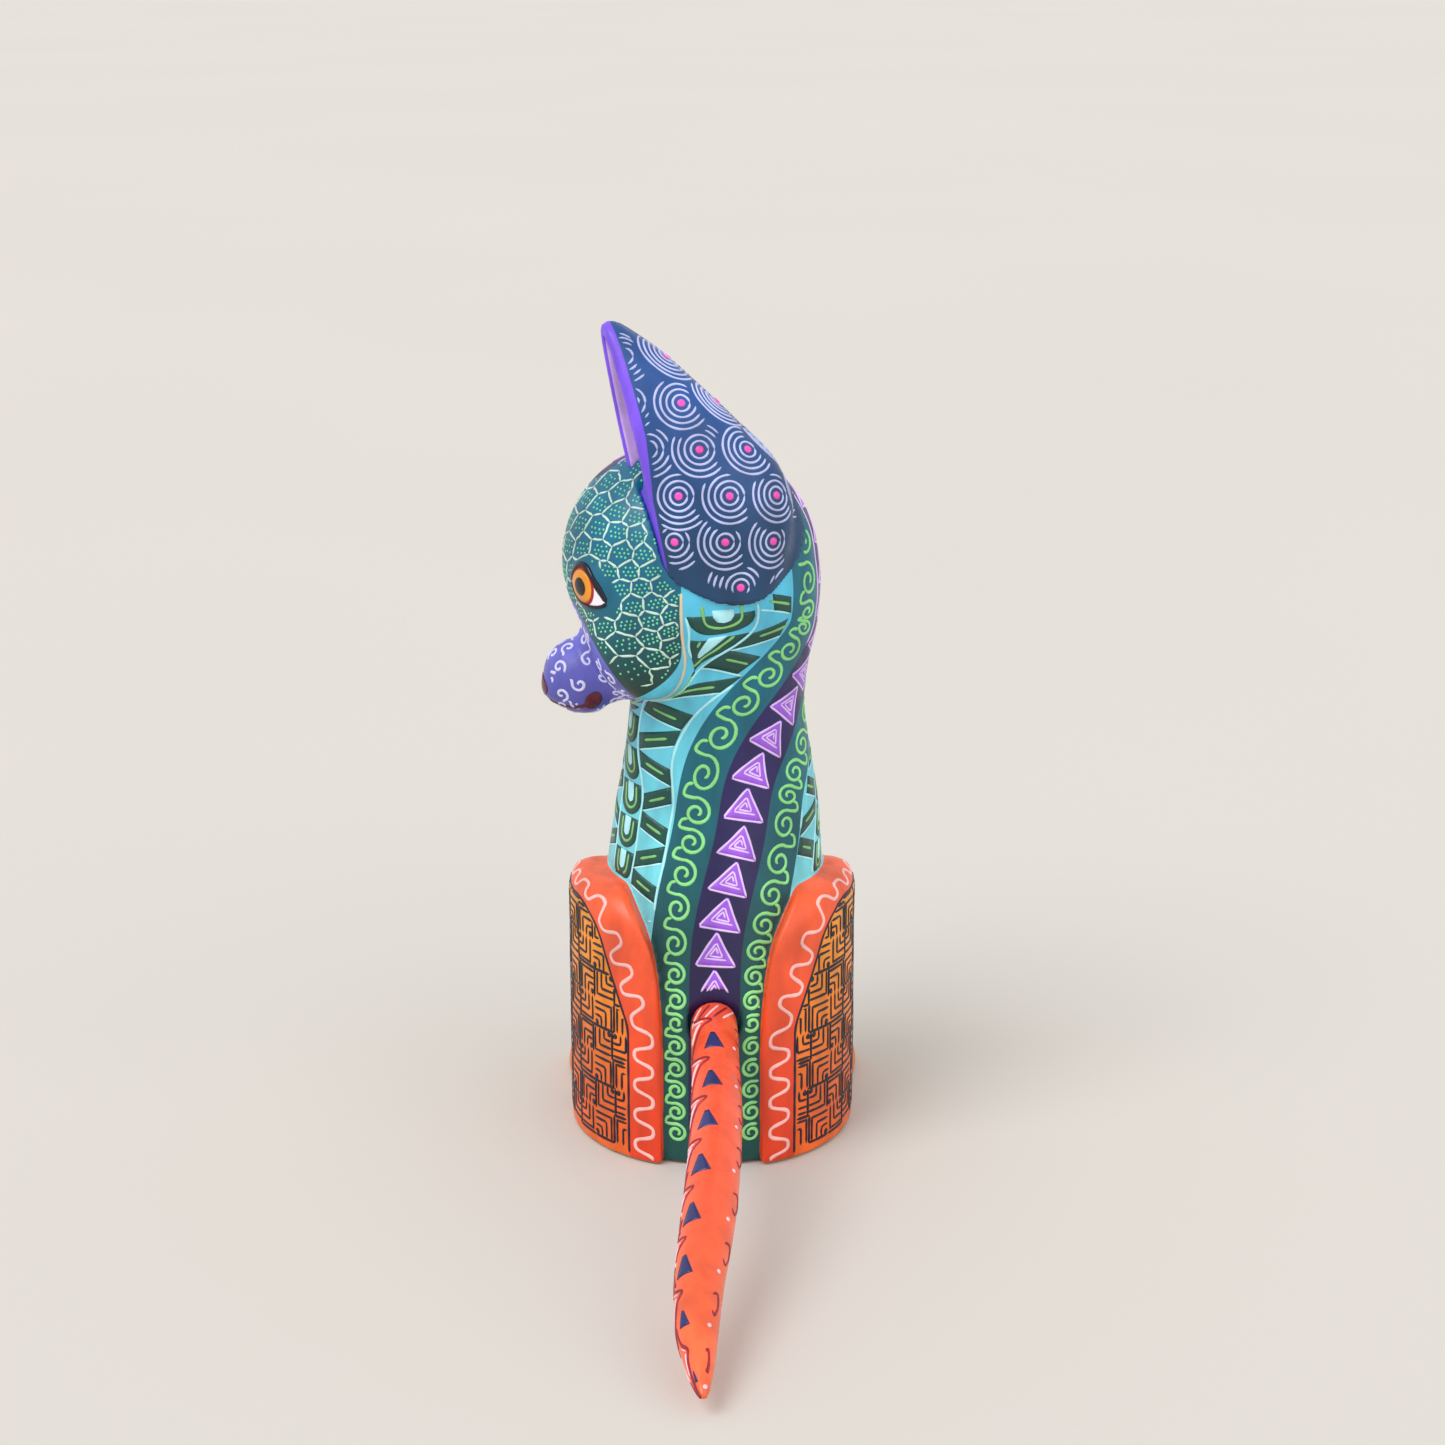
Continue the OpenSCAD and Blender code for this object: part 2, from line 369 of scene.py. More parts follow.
def ear_hollow(q):
    floor = 11.5 - q[2]
    return smooth_max(ear_outside(q) + EAR_WALL, floor + 0 * q[0], 5)


def head_side(q):
    """What the left ear leaves to the head: all below its seat that is in the skull or low on it."""
    return np.maximum(seat(q), np.minimum(ellipsoid(q, (0, 0, 0), SKULL), q[2] - INNER_WALL_Z + 0 * q[0]))


def ear_blank(p, side):
    """An ear before it is hollowed: above its seat it takes over the head's surface, slightly proud."""
    q = mirrored(to_head(p), side)
    crown = np.maximum(body_blank(p) - EAR_PROUD, -seat(q))
    return smooth_min(ear_outside(q) + knife_marks(p), crown, 1.2)


def ear(p, side):
    q = mirrored(to_head(p), side)
    d = smooth_max(ear_blank(p, side), opening(q), 0.9)
    d = smooth_max(d, -ear_hollow(q), 0.9)
    return smooth_max(d, -head_side(q) - SEAT_SINK, 0.3)


TAIL_TABLE = spline(TAIL_ROWS)


def tail(p):
    along, side, up = tail_frame(p)
    part, out, high, r = TAIL_TABLE.T
    t = (along - ROOT_GAP) / TAIL_LEN
    out, high, r = (np.interp(t, part, v) for v in (out, high, r))
    d = np.sqrt((side - out) ** 2 + (up - high) ** 2) - r
    d = smooth_max(d + 0.6 * knife_marks(p), ROOT_GAP - along, 0.5)
    d = np.maximum(d, along - TAIL_LEN - ROOT_GAP)
    return np.maximum(d, -tail_hole(p, SOCKET_R, -1, ROOT_GAP + TAIL_HOLE_DEPTH))


# ---------------------------------------------------------------- meshes from distances


def link_mesh(name, verts, faces, sizes=4):
    """A smooth-shaded mesh object from points in millimetres and faces of the same size."""
    mesh = bpy.data.meshes.new(name)
    verts = np.asarray(verts, np.float32) * MM
    faces = np.asarray(faces, np.int32)
    mesh.vertices.add(len(verts))
    mesh.vertices.foreach_set("co", verts.ravel())
    mesh.loops.add(faces.size)
    mesh.loops.foreach_set("vertex_index", faces.ravel())
    mesh.polygons.add(len(faces))
    mesh.polygons.foreach_set("loop_start", np.arange(0, faces.size, sizes, dtype=np.int32))
    mesh.update(calc_edges=True)
    mesh.polygons.foreach_set("use_smooth", np.ones(len(faces), bool))
    mesh.validate()
    obj = bpy.data.objects.new(name, mesh)
    bpy.context.scene.collection.objects.link(obj)
    return obj


def mesh_of(name, distance, lo, hi, voxel):
    """Mesh object of a distance function inside a box."""
    sides = [np.arange(a, b, voxel, dtype=np.float32) for a, b in zip(lo, hi)]
    grid_points = np.meshgrid(*sides, indexing="ij", sparse=True)
    values = np.clip(distance(grid_points), -3, 3).astype(np.float32)
    grid = vdb.FloatGrid(3.0)
    grid.copyFromArray(values)
    points, _, quads = grid.convertToPolygons(isovalue=0.0, adaptivity=0.0)
    points = points * voxel + np.array(lo, np.float32)
    return link_mesh(name, points, quads[:, ::-1]), points


# ---------------------------------------------------------------- painting tools
# Lines, patches and dots are real closed geometry, laid on the distance functions above. Each
# motif is drawn in millimetres on a chart, which is a function from (u, v) to points near a surface.

RNG = random.Random(11)
PAINT_FLOOR = 0.7


def gradient(field, p, step=0.08):
    out = np.empty_like(p)
    for k in range(3):
        e = np.zeros(3)
        e[k] = step
        out[:, k] = field(tuple((p + e).T)) - field(tuple((p - e).T))
    return out / (np.linalg.norm(out, axis=1)[:, None] + 1e-9)


def snap(field, p, rounds=5):
    """Points moved onto a surface, and the surface's normals there."""
    p = np.array(p, float)
    for _ in range(rounds):
        normal = gradient(field, p)
        p -= np.clip(field(tuple(p.T)), -3, 3)[:, None] * normal * 0.9
    return p, gradient(field, p)


def unit(v):
    return v / (np.linalg.norm(v, axis=-1, keepdims=True) + 1e-9)


def hops(points):
    """Lengths of a polyline's steps."""
    return np.linalg.norm(np.diff(np.asarray(points, float), axis=0), axis=1)


def run_along(points):
    """Each point's distance along a polyline."""
    return np.concatenate([[0], np.cumsum(hops(points))])


def stretches(kept, least):
    """Slices of the unbroken stretches of True that have at least so many members."""
    edges = np.flatnonzero(np.diff(np.concatenate([[0], kept.astype(int), [0]])))
    return [slice(first, last) for first, last in zip(edges[::2], edges[1::2]) if last - first >= least]


def resample(points, step):
    """A polyline's points at even distances of about one step."""
    return even(points, max(int(hops(points).sum() / step), 3) + 1)


def even(points, count):
    """A polyline's points at a number of even distances."""
    points = np.asarray(points, float)
    run = run_along(points)
    at = np.linspace(0, run[-1], count)
    return np.stack([np.interp(at, run, points[:, k]) for k in range(points.shape[1])], 1)


def tube(points, normals, width, lift):
    """Closed flat-bellied line of paint with round ends: points and triangles."""
    sides = 6
    count = len(points)
    run = run_along(points)
    across = unit(np.cross(normals, unit(np.gradient(points, axis=0))))
    ends = np.minimum(run, run[-1] - run) / (0.5 * width)
    taper = np.maximum(np.sqrt(np.clip(ends, 0, 1)), 0.3)
    half = 0.5 * width * taper * (1 + 0.1 * np.sin(run * 1.7 + points[0, 2]))
    turn = np.arange(sides) * 2 * math.pi / sides
    ring = (points[:, None]
            + across[:, None] * (half[:, None] * np.cos(turn))[..., None]
            + normals[:, None] * (lift * taper[:, None] * np.sin(turn))[..., None])
    verts = np.vstack([ring.reshape(-1, 3), points[:1], points[-1:]])
    i = np.arange(count - 1)[:, None] * sides
    j = np.arange(sides)[None]
    k = (j + 1) % sides
    a, b, c, d = i + j, i + k, i + sides + k, i + sides + j
    walls = np.vstack([np.stack([a, b, c], -1).reshape(-1, 3), np.stack([a, c, d], -1).reshape(-1, 3)])
    last = (count - 1) * sides
    j, k = j[0], k[0]
    start = np.stack([np.full(sides, count * sides), k, j], -1)
    end = np.stack([np.full(sides, count * sides + 1), last + j, last + k], -1)
    return verts, np.vstack([walls, start, end])


def plate(points, normals, lift, sink=0.08):
    """Closed thin patch over a grid of points: points and triangles."""
    m, n = points.shape[:2]
    verts = np.vstack([(points + normals * lift).reshape(-1, 3), (points - normals * sink).reshape(-1, 3)])
    grid = np.arange(m * n).reshape(m, n)

    def sheet(g, flip):
        a, b, c, d = g[:-1, :-1].ravel(), g[1:, :-1].ravel(), g[1:, 1:].ravel(), g[:-1, 1:].ravel()
        tri = np.vstack([np.stack([a, b, c], -1), np.stack([a, c, d], -1)])
        return tri[:, ::-1] if flip else tri

    rim = np.concatenate([grid[:-1, 0], grid[-1, :-1], grid[:0:-1, -1], grid[0, :0:-1]])
    after = np.roll(rim, -1)
    low = m * n
    walls = np.vstack([np.stack([rim, rim + low, after + low], -1), np.stack([rim, after + low, after], -1)])
    return verts, np.vstack([sheet(grid, False), sheet(grid + low, True), walls])


class Paint:
    """All the marks of one colour on one surface, which become one mesh."""

    def __init__(self, name, field, keep=None):
        self.name = name
        self.field = field
        self.keep = keep
        self.jobs = []

    def line(self, points, width=0.6, step=0.5, lift=0.13):
        self.jobs.append(("line", resample(points, step), (width, lift)))

    def fill(self, one, other, lift=0.05, across=5, step=0.9):
        """Patch between two polylines that run the same way."""
        count = max(int(max(hops(one).sum(), hops(other).sum()) / step), 3)
        one, other = (even(e, count + 1) for e in (one, other))
        mix = np.linspace(0, 1, across)[:, None, None]
        self.jobs.append(("fill", one[None] * (1 - mix) + other[None] * mix, (lift,)))

    def dot(self, point, radius=0.35, lift=0.14):
        self.jobs.append(("dot", np.asarray(point, float)[None], (radius, lift)))

    def solids(self, kind, shape, sizes, p, n, kept):
        """The closed solids of one mark, without the parts that aren't kept."""
        if kind == "line":
            hop, planned = hops(p), hops(shape)
            torn = (hop > 2.2 * planned) | (hop < 0.3 * planned)
            kept = kept & ~np.concatenate([[False], torn])
            return [tube(p[part], n[part], *sizes) for part in stretches(kept, 3)]
        if kind == "fill":
            p, n = p.reshape(shape.shape), n.reshape(shape.shape)
            whole = kept.reshape(shape.shape[:2]).all(0)
            return [plate(p[:, part], n[:, part], *sizes) for part in stretches(whole, 3)]
        return [dome(p[0], n[0], *sizes)] if kept.all() else []

    def build(self, body, slot, material):
        points, normals = snap(self.field, np.vstack([job[1].reshape(-1, 3) for job in self.jobs]))
        places = tuple(points.T)
        good = places[2] > PAINT_FLOOR
        if self.keep is not None:
            good &= self.keep(places)
        verts, faces, used, at = [], [], 0, 0
        for kind, shape, sizes in self.jobs:
            part = slice(at, at + shape.size // 3)
            at = part.stop
            for v, f in self.solids(kind, shape, sizes, points[part], normals[part], good[part]):
                verts.append(v)
                faces.append(f + used)
                used += len(v)
        piece = link_mesh(self.name, np.vstack(verts), np.vstack(faces), 3)
        piece.data.materials.append(material)
        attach(piece, body)


def dome(point, normal, radius, lift, sides=8):
    """Closed dot of paint: points and triangles."""
    u = unit(np.cross(normal, (0.31, 0.52, 0.79)))
    v = np.cross(normal, u)
    turn = np.arange(sides) * 2 * math.pi / sides
    ring = (np.cos(turn)[:, None] * u + np.sin(turn)[:, None] * v) * radius
    foot = normal * 0.06
    shoulder = point + ring * 0.72 + normal * lift * 0.7
    verts = np.vstack([point + ring - foot, shoulder, [point + normal * lift], [point - foot]])
    j = np.arange(sides)
    k = (j + 1) % sides
    top, under = np.full(sides, 2 * sides), np.full(sides, 2 * sides + 1)
    return verts, np.vstack([np.stack([j, k, k + sides], -1), np.stack([j, k + sides, j + sides], -1),
                             np.stack([j + sides, k + sides, top], -1), np.stack([k, j, under], -1)])


# ---------------------------------------------------------------- motifs, as flat points in millimetres


def spiral(turns, r0, r1, start=0.0, hand=1, steps=None):
    """A curl that opens from r0 to r1."""
    t = np.linspace(0, 1, steps or int(14 * turns) + 6)
    a = start + hand * 2 * math.pi * turns * t
    r = r0 + (r1 - r0) * t
    return np.stack([r * np.cos(a), r * np.sin(a)], 1)


def circle(r, steps=28):
    a = np.linspace(0, 2 * math.pi, steps + 1)
    return np.stack([r * np.cos(a), r * np.sin(a)], 1)


def oval_edges(half_width, half_height):
    """Lower and upper half of an oval's outline, which run the same way."""
    outline = circle(1.0) * (half_width, half_height)
    middle = len(outline) // 2
    return outline[middle:][::-1], outline[:middle + 1]


def triangle_spiral(base, height, rounds=2):
    """Triangles nested as one inward line, apex up."""
    corners = [(-0.5, 0.0), (0.5, 0.0), (0.0, 1.0)]
    centre = np.array((0.0, 0.34))
    path = []
    for k in range(3 * rounds + 1):
        shrink = 1 - k / (3 * rounds + 2)
        path.append((np.array(corners[k % 3]) - centre) * shrink + centre)
    return np.array(path) * (base, height)


# ---------------------------------------------------------------- charts


def on_loft(loft, azimuth, z):
    """A loft's surface at an azimuth seen from above and a height."""
    x0, x1, y0, y1 = (np.interp(z, loft.table[:, 0], side) for side in loft.table.T[1:])
    return np.stack([(x0 + x1) / 2 + (x1 - x0) / 2 * np.cos(azimuth),
                     (y0 + y1) / 2 + (y1 - y0) / 2 * np.sin(azimuth), z + 0 * azimuth], -1)


def on_trunk(azimuth, z):
    return on_loft(trunk, azimuth, z)


SPINE_BACK = 91.0
SPINE_DRIFT = 16.0
SPINE_TURN = 77.0


def smooth_step(value, lo, hi):
    t = np.clip((value - lo) / (hi - lo), 0, 1)
    return t * t * (3 - 2 * t)


def spine_azimuth(z):
    """The spine drifts off the back's middle, then winds round with the neck to the turned head."""
    return np.radians(SPINE_BACK + SPINE_DRIFT * smooth_step(z, 36, 64) + SPINE_TURN * smooth_step(z, 61, 92))


def on_skull(turn):
    """Over the crown in the head's middle plane, from its back (180 degrees) to its front (0)."""
    return np.stack(from_head((SKULL[0] * np.cos(turn), 0 * turn, SKULL[2] * np.sin(turn))), -1)


heights = np.linspace(0.5, 90, 90)
crown_turns = np.radians(np.linspace(184, 52, 40))
spine_line = np.vstack([on_trunk(spine_azimuth(heights), heights), on_skull(crown_turns)])
spine_line = resample(spine_line, 1.0)
for _ in range(12):
    spine_line[1:-1] = (spine_line[:-2] + spine_line[1:-1] * 2 + spine_line[2:]) / 4
spine_line, spine_normal = snap(body_blank, spine_line)
spine_run = run_along(spine_line)
spine_side = unit(np.cross(spine_normal, unit(np.gradient(spine_line, axis=0))))
SPINE_LENGTH = spine_run[-1]


def spine_chart(s, t):
    """s along the spine from its foot, t across it."""
    s, t = np.broadcast_arrays(np.asarray(s, float), np.asarray(t, float))
    at, side, normal = (np.stack([np.interp(s, spine_run, rows[:, k]) for k in range(3)], -1)
                        for rows in (spine_line, spine_side, spine_normal))
    bend = 17.0
    sideways = bend * np.sin(t / bend)
    inwards = bend * (1 - np.cos(t / bend))
    return at + side * sideways[..., None] - normal * inwards[..., None]


def trunk_radius(z):
    z0, x0, x1, y0, y1 = trunk.table.T
    return np.interp(z, z0, (x1 - x0 + y1 - y0) / 4)


def twist_kept(turn):
    """Share of the spine's twist that the columns follow: all beside the spine, none at the chest."""
    return 1 - smooth_step(np.abs(turn), 0.3 * math.pi, math.pi)


def trunk_turn(u, z):
    """Angle round the trunk that lies a distance u off the spine, square to the spine's slant."""
    r = trunk_radius(z)
    slope = (spine_azimuth(z + 0.5) - spine_azimuth(z - 0.5)) * r
    return u * np.sqrt(1 + (slope * twist_kept(u / r))**2) / r


def trunk_chart(u, z):
    """u off the spine, z the height. The spine's twist fades away towards the chest."""
    turn = trunk_turn(u, z)
    twist = spine_azimuth(z) - math.radians(SPINE_BACK)
    return on_trunk(math.radians(SPINE_BACK) + twist * twist_kept(turn) + turn, z)


def haunch_chart(side):
    """u round a haunch from its outermost line towards the back, v the height."""
    def chart(u, v):
        a = u / HAUNCH_R
        return np.stack([side * HAUNCH_R * np.cos(a), PLAN_CENTRE_Y + HAUNCH_R * np.sin(a), v + 0 * u], -1)
    return chart


def polar_chart(centre, axis, radius):
    """Chart round the point where an axis in the head's frame leaves the surface."""
    axis = unit(np.array(axis, float))
    right = unit(np.cross((0, 0, 1.0), axis))
    top = np.cross(axis, right)

    def chart(u, v):
        r = np.hypot(u, v)
        a = r / radius
        flat = (u[..., None] * right + v[..., None] * top) / (r[..., None] + 1e-9)
        q = np.array(centre) + radius * (axis * np.cos(a)[..., None] + flat * np.sin(a)[..., None])
        return np.stack(from_head(tuple(np.moveaxis(q, -1, 0))), -1)
    return chart


def tangent_chart(field, centre, up=(0, 0, 1)):
    """Small chart round one point, with v towards up."""
    point, normal = snap(field, np.array([centre], float))
    point, normal = point[0], normal[0]
    right = unit(np.cross(np.array(up, float), normal))
    top = np.cross(normal, right)

    def chart(u, v):
        return point + u[..., None] * right + v[..., None] * top
    return chart


def tail_chart(u, v):
    """u along the tail from its root, v round it from its top."""
    part, out, high, r = TAIL_TABLE.T
    out, high, r = (np.interp(u / TAIL_LEN, part, w) for w in (out, high, r))
    a = v / 4.0
    side = out + r * np.sin(a)
    up = high + r * np.cos(a)
    along = u + ROOT_GAP
    return np.stack([TAIL_ROOT[0] + side,
                     TAIL_ROOT[1] + along * TAIL_AXIS[1] - up * TAIL_AXIS[2],
                     TAIL_ROOT[2] + along * TAIL_AXIS[2] + up * TAIL_AXIS[1]], -1)


def placed(chart, flat, u, v, turn):
    """A motif's flat points on a chart, turned about (u, v)."""
    flat = resample(np.asarray(flat, float), 0.5)
    c, s = math.cos(turn), math.sin(turn)
    a, b = flat.T
    return chart(u + a * c - b * s, v + a * s + b * c)


# ---------------------------------------------------------------- materials


def colour(r, g, b):
    """Linear RGBA from everyday 0-255 values."""
    linear = [c / 255 / 12.92 if c < 10.4 else ((c / 255 + 0.055) / 1.055) ** 2.4 for c in (r, g, b)]
    return (*linear, 1)


class Nodes:
    """A material's node tree with short calls for what the paints share."""

    def __init__(self, name):
        self.material = bpy.data.materials.new(name)
        self.material.use_nodes = True
        self.tree = self.material.node_tree
        self.shader = self.tree.nodes["Principled BSDF"]
        self.place = self.tree.nodes.new("ShaderNodeTexCoord").outputs["Object"]

    def link(self, out, socket):
        self.tree.links.new(out, socket)

    def noise(self, scale, detail=3.0, stretch=(1, 1, 1)):
        mapping = self.tree.nodes.new("ShaderNodeMapping")
        mapping.inputs["Scale"].default_value = stretch
        self.link(self.place, mapping.inputs["Vector"])
        node = self.tree.nodes.new("ShaderNodeTexNoise")
        node.inputs["Scale"].default_value = scale
        node.inputs["Detail"].default_value = detail
        self.link(mapping.outputs["Vector"], node.inputs["Vector"])
        return node.outputs["Fac"]

    def ramp(self, value, lo, hi, to_lo=0.0, to_hi=1.0):
        node = self.tree.nodes.new("ShaderNodeMapRange")
        node.interpolation_type = "SMOOTHSTEP"
        for socket, number in zip(("From Min", "From Max", "To Min", "To Max"), (lo, hi, to_lo, to_hi)):
            node.inputs[socket].default_value = number
        self.link(value, node.inputs["Value"])
        return node.outputs["Result"]

    def mix(self, factor, a, b, mode="MIX"):
        node = self.tree.nodes.new("ShaderNodeMix")
        node.data_type = "RGBA"
        node.blend_type = mode
        for socket, value in ((node.inputs["Factor"], factor), (node.inputs[6], a), (node.inputs[7], b)):
            if isinstance(value, (tuple, float)):
                socket.default_value = value
            else:
                self.link(value, socket)
        return node.outputs[2]

    def attribute(self, name):
        node = self.tree.nodes.new("ShaderNodeAttribute")
        node.attribute_name = name
        return node.outputs["Fac"]

    def height(self):
        node = self.tree.nodes.new("ShaderNodeSeparateXYZ")
        self.link(self.place, node.inputs[0])
        return node.outputs["Z"]

    def relief(self, height, strength, depth):
        bump = self.tree.nodes.new("ShaderNodeBump")
        bump.inputs["Strength"].default_value = strength
        bump.inputs["Distance"].default_value = depth
        self.link(height, bump.inputs["Height"])
        self.link(bump.outputs["Normal"], self.shader.inputs["Normal"])

    def brushed(self, base, rough=(0.3, 0.48), grain=0.35):
        """Hand-brushed acrylic: uneven tone, a satin roughness and fine brush and wood relief."""
        tone = self.ramp(self.noise(260, 4, (1, 1, 0.35)), 0.3, 0.7, 0.84, 1.12)
        blotch = self.ramp(self.noise(70, 2), 0.3, 0.7, 0.88, 1.1)
        shade = self.tree.nodes.new("ShaderNodeMath")
        shade.operation = "MULTIPLY"
        self.link(tone, shade.inputs[0])
        self.link(blotch, shade.inputs[1])
        grey = self.tree.nodes.new("ShaderNodeCombineColor")
        for socket in grey.inputs:
            self.link(shade.outputs[0], socket)
        self.link(self.mix(1.0, base, grey.outputs[0], "MULTIPLY"), self.shader.inputs["Base Color"])
        self.link(self.ramp(self.noise(420, 3), 0.3, 0.7, *rough), self.shader.inputs["Roughness"])
        self.relief(self.noise(900, 4, (1, 1, 0.25)), grain, 0.12 * MM)
        return self.material


def line_paint(name, rgb, rough=(0.3, 0.45)):
    return Nodes(name).brushed(colour(*rgb), rough, 0.25)


def layered_paint(name, base, layers, rough=(0.3, 0.48)):
    """Areas of colour whose edges follow attributes that are positive inside each area. Within each area the
    colour runs with height from a lower to an upper colour: the paint's own colour with painted shade and
    painted light laid into it.
    """
    nodes = Nodes(name)
    height = nodes.height()
    result = colour(*base)
    for attribute, low, high, z0, z1 in layers:
        # Painted light and shade: each area is blended by height from its lower colour at z0 to its upper
        # colour at z1.
        shaded_tint = nodes.mix(nodes.ramp(height, z0 * MM, z1 * MM), colour(*low), colour(*high))
        mask = nodes.ramp(nodes.attribute(attribute), -0.07, 0.07)
        result = nodes.mix(mask, result, shaded_tint)
    return nodes.brushed(result, rough)


def bare_wood():
    nodes = Nodes("bare_copal_wood")
    grain = nodes.noise(380, 6, (1, 1, 0.06))
    tone = nodes.mix(nodes.ramp(grain, 0.35, 0.65), colour(196, 156, 104), colour(226, 194, 146))
    nodes.link(tone, nodes.shader.inputs["Base Color"])
    nodes.link(nodes.ramp(grain, 0.3, 0.7, 0.55, 0.75), nodes.shader.inputs["Roughness"])
    nodes.relief(grain, 0.4, 0.1 * MM)
    return nodes.material


# ---------------------------------------------------------------- carved pieces

SPINE_HALF = 4.2
SCROLL_HALF = 11.2
CHEST_HALF = 3.0
NOSE_AT = (24.2, 0, -20.6)
MOUTH_AT = (15.4, 4.8, -23.2)
FACE_FROM = 1.2
PANEL_ROUND = 9.0
PANEL_CORE = [(-8, -10), (14.2, -10), (14.2, 22), (9, 34), (0, 34), (-8, 24)]


def store(obj, name, values):
    layer = obj.data.attributes.new(name, "FLOAT", "POINT")
    layer.data.foreach_set("value", np.asarray(values, np.float32))


fine_spine = resample(spine_line, 0.25)
spine_tree = KDTree(len(fine_spine))
for index, point in enumerate(fine_spine):
    spine_tree.insert(point, index)
spine_tree.balance()


def spine_offset(p):
    """Straight distance from the spine's line."""
    return np.array([spine_tree.find(v)[2] for v in np.stack(np.broadcast_arrays(*p), 1)])


def face_area(p):
    """Positive in front of the line from the ears down and forwards to the chin."""
    q = to_head(p)
    return q[0] - FACE_FROM - 0.12 * np.maximum(-14 - q[2], 0) ** 2


def muzzle_area(p):
    """Positive on the head in front of the slanting line where the muzzle's colour starts."""
    q = to_head(p)
    slant = (p[0] - 16.5) * 0.805 - (p[2] - 84.8) * 0.59
    return np.minimum(np.minimum(slant, q[0] - 4), 1.0 - head(q))


def haunch_area(p):
    return np.minimum(trunk(p) - haunches(p), 1.2 - haunches(p))


def panel_area(p):
    """Inside of a haunch's fretted panel, a rounded box on its outside."""
    u = HAUNCH_R * np.arctan2(p[1] - PLAN_CENTRE_Y, np.abs(p[0]))
    return -(polygon_distance(u, p[2], PANEL_CORE) - PANEL_ROUND)


def rounded_outline(core, r):
    """Closed line at a distance r outside a convex polygon, with arcs round its corners."""
    out = []
    for (ax, ay), (bx, by), (cx, cy) in zip(core[-1:] + core[:-1], core, core[1:] + core[:1]):
        start = math.atan2(ax - bx, by - ay)
        turn = (math.atan2(bx - cx, cy - by) - start) % (2 * math.pi)
        for t in np.linspace(0, 1, 10):
            out.append((bx + r * math.cos(start + turn * t), by + r * math.sin(start + turn * t)))
    return resample(out + out[:1], 0.3)


def rim_band(q):
    """How far an ear's rim colour comes round its edge: less below the crown."""
    return np.interp(q[2], (10, 20), (0.35, 1.4))


def paw_area(p):
    return 1.0 - np.minimum(hind_paws(p), np.maximum(legs(p), p[2] - 7))


def column_ground(p, off):
    """Positive where the columns are painted, outside the scroll bands and off the forelegs."""
    legs_off = np.maximum(legs(p) - trunk(p), p[2] - 52)
    return np.minimum(np.minimum(off - SCROLL_HALF, legs_off), 3)


body_object, body_points = mesh_of("painted_body", body, (-30, -36, -2), (30, 22, 122), 0.5)
body_at = tuple(body_points.T.astype(float))
spine_off = spine_offset(body_at)
store(body_object, "scroll_band", SCROLL_HALF - spine_off)
store(body_object, "spine", SPINE_HALF - spine_off)
store(body_object, "haunch", np.minimum(haunch_area(body_at), 3))
store(body_object, "panel", np.minimum(panel_area(body_at), haunch_area(body_at) + 0.4))
in_front = np.minimum(face_area(body_at), trunk(body_at) - head(to_head(body_at)))
store(body_object, "face", np.minimum(in_front, spine_off - SPINE_HALF))
store(body_object, "muzzle", muzzle_area(body_at))
store(body_object, "columns", column_ground(body_at, spine_off))
store(body_object, "paws", np.minimum(paw_area(body_at), haunches(body_at) + 0.6))
store(body_object, "underside", 0.35 - body_at[2])
# Each layer's lower and upper colours are the paint's own colour with painted shade and light: most areas are
# painted darker low down and lighter higher up, the columns darker towards the neck.
body_object.data.materials.append(layered_paint("body_paint", (0, 78, 92), [
    ("columns", (112, 212, 226), (84, 196, 232), 46, 98),
    ("scroll_band", (0, 76, 74), (0, 104, 128), 20, 90),
    ("spine", (25, 16, 66), (34, 22, 96), 10, 100),
    ("haunch", (228, 62, 18), (246, 92, 48), 4, 46),
    ("panel", (238, 100, 22), (244, 150, 32), 6, 40),
    ("paws", (238, 120, 24), (246, 170, 40), 0, 12),
    ("face", (4, 62, 50), (0, 104, 138), 78, 104),
    ("muzzle", (84, 84, 176), (104, 104, 204), 74, 90),
    ("underside", (206, 168, 116), (206, 168, 116), 0, 1),
]))
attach(body_object, "figure")
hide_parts("carved_body")

# The ears' blue is painted darkest below 96 mm and lighter towards the tips, and the inside and rim lighten
# upwards too: painted shade and light on the ears' own colours.
ear_material = layered_paint("ear_paint", (14, 52, 84), [
    ("upper", (14, 62, 104), (24, 78, 150), 100, 132),
    ("inside", (222, 184, 252), (228, 196, 255), 100, 132),
    ("rim", (112, 72, 230), (128, 84, 244), 100, 132),
])
for side, word in ((1, "left"), (-1, "right")):
    ear_object, ear_points = mesh_of("painted_ear_" + word, lambda p, side=side: ear(p, side),
                                     (-20, -40, 85), (25, 30, 142), 0.4)
    ear_at = tuple(ear_points.T.astype(float))
    q = mirrored(to_head(ear_at), side)
    depth = -ear_outside(q)
    store(ear_object, "upper", ear_at[2] - 96)
    store(ear_object, "inside", depth - 0.9)
    store(ear_object, "rim", opening(q) + np.where(depth < 0.9, rim_band(q), 0.4))
    ear_object.data.materials.append(ear_material)
    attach(ear_object, "figure")
    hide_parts("ear_" + word)

tail_object, tail_points = mesh_of("painted_tail", tail, (-8, 8, -3), (8, 104, 36), 0.4)
tail_at = tuple(tail_points.T.astype(float))
store(tail_object, "warm", tail_frame(tail_at)[0] + 5)
# The warm area covers the whole tail; its coral is painted lighter towards the low tip and darker towards the
# raised root: painted light and shade on the tail's own colour.
tail_object.data.materials.append(layered_paint("tail_paint", (238, 70, 44), [
    ("warm", (250, 104, 58), (244, 88, 52), 4, 24),
], (0.2, 0.34)))
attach(tail_object, "tail")
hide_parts("tail")

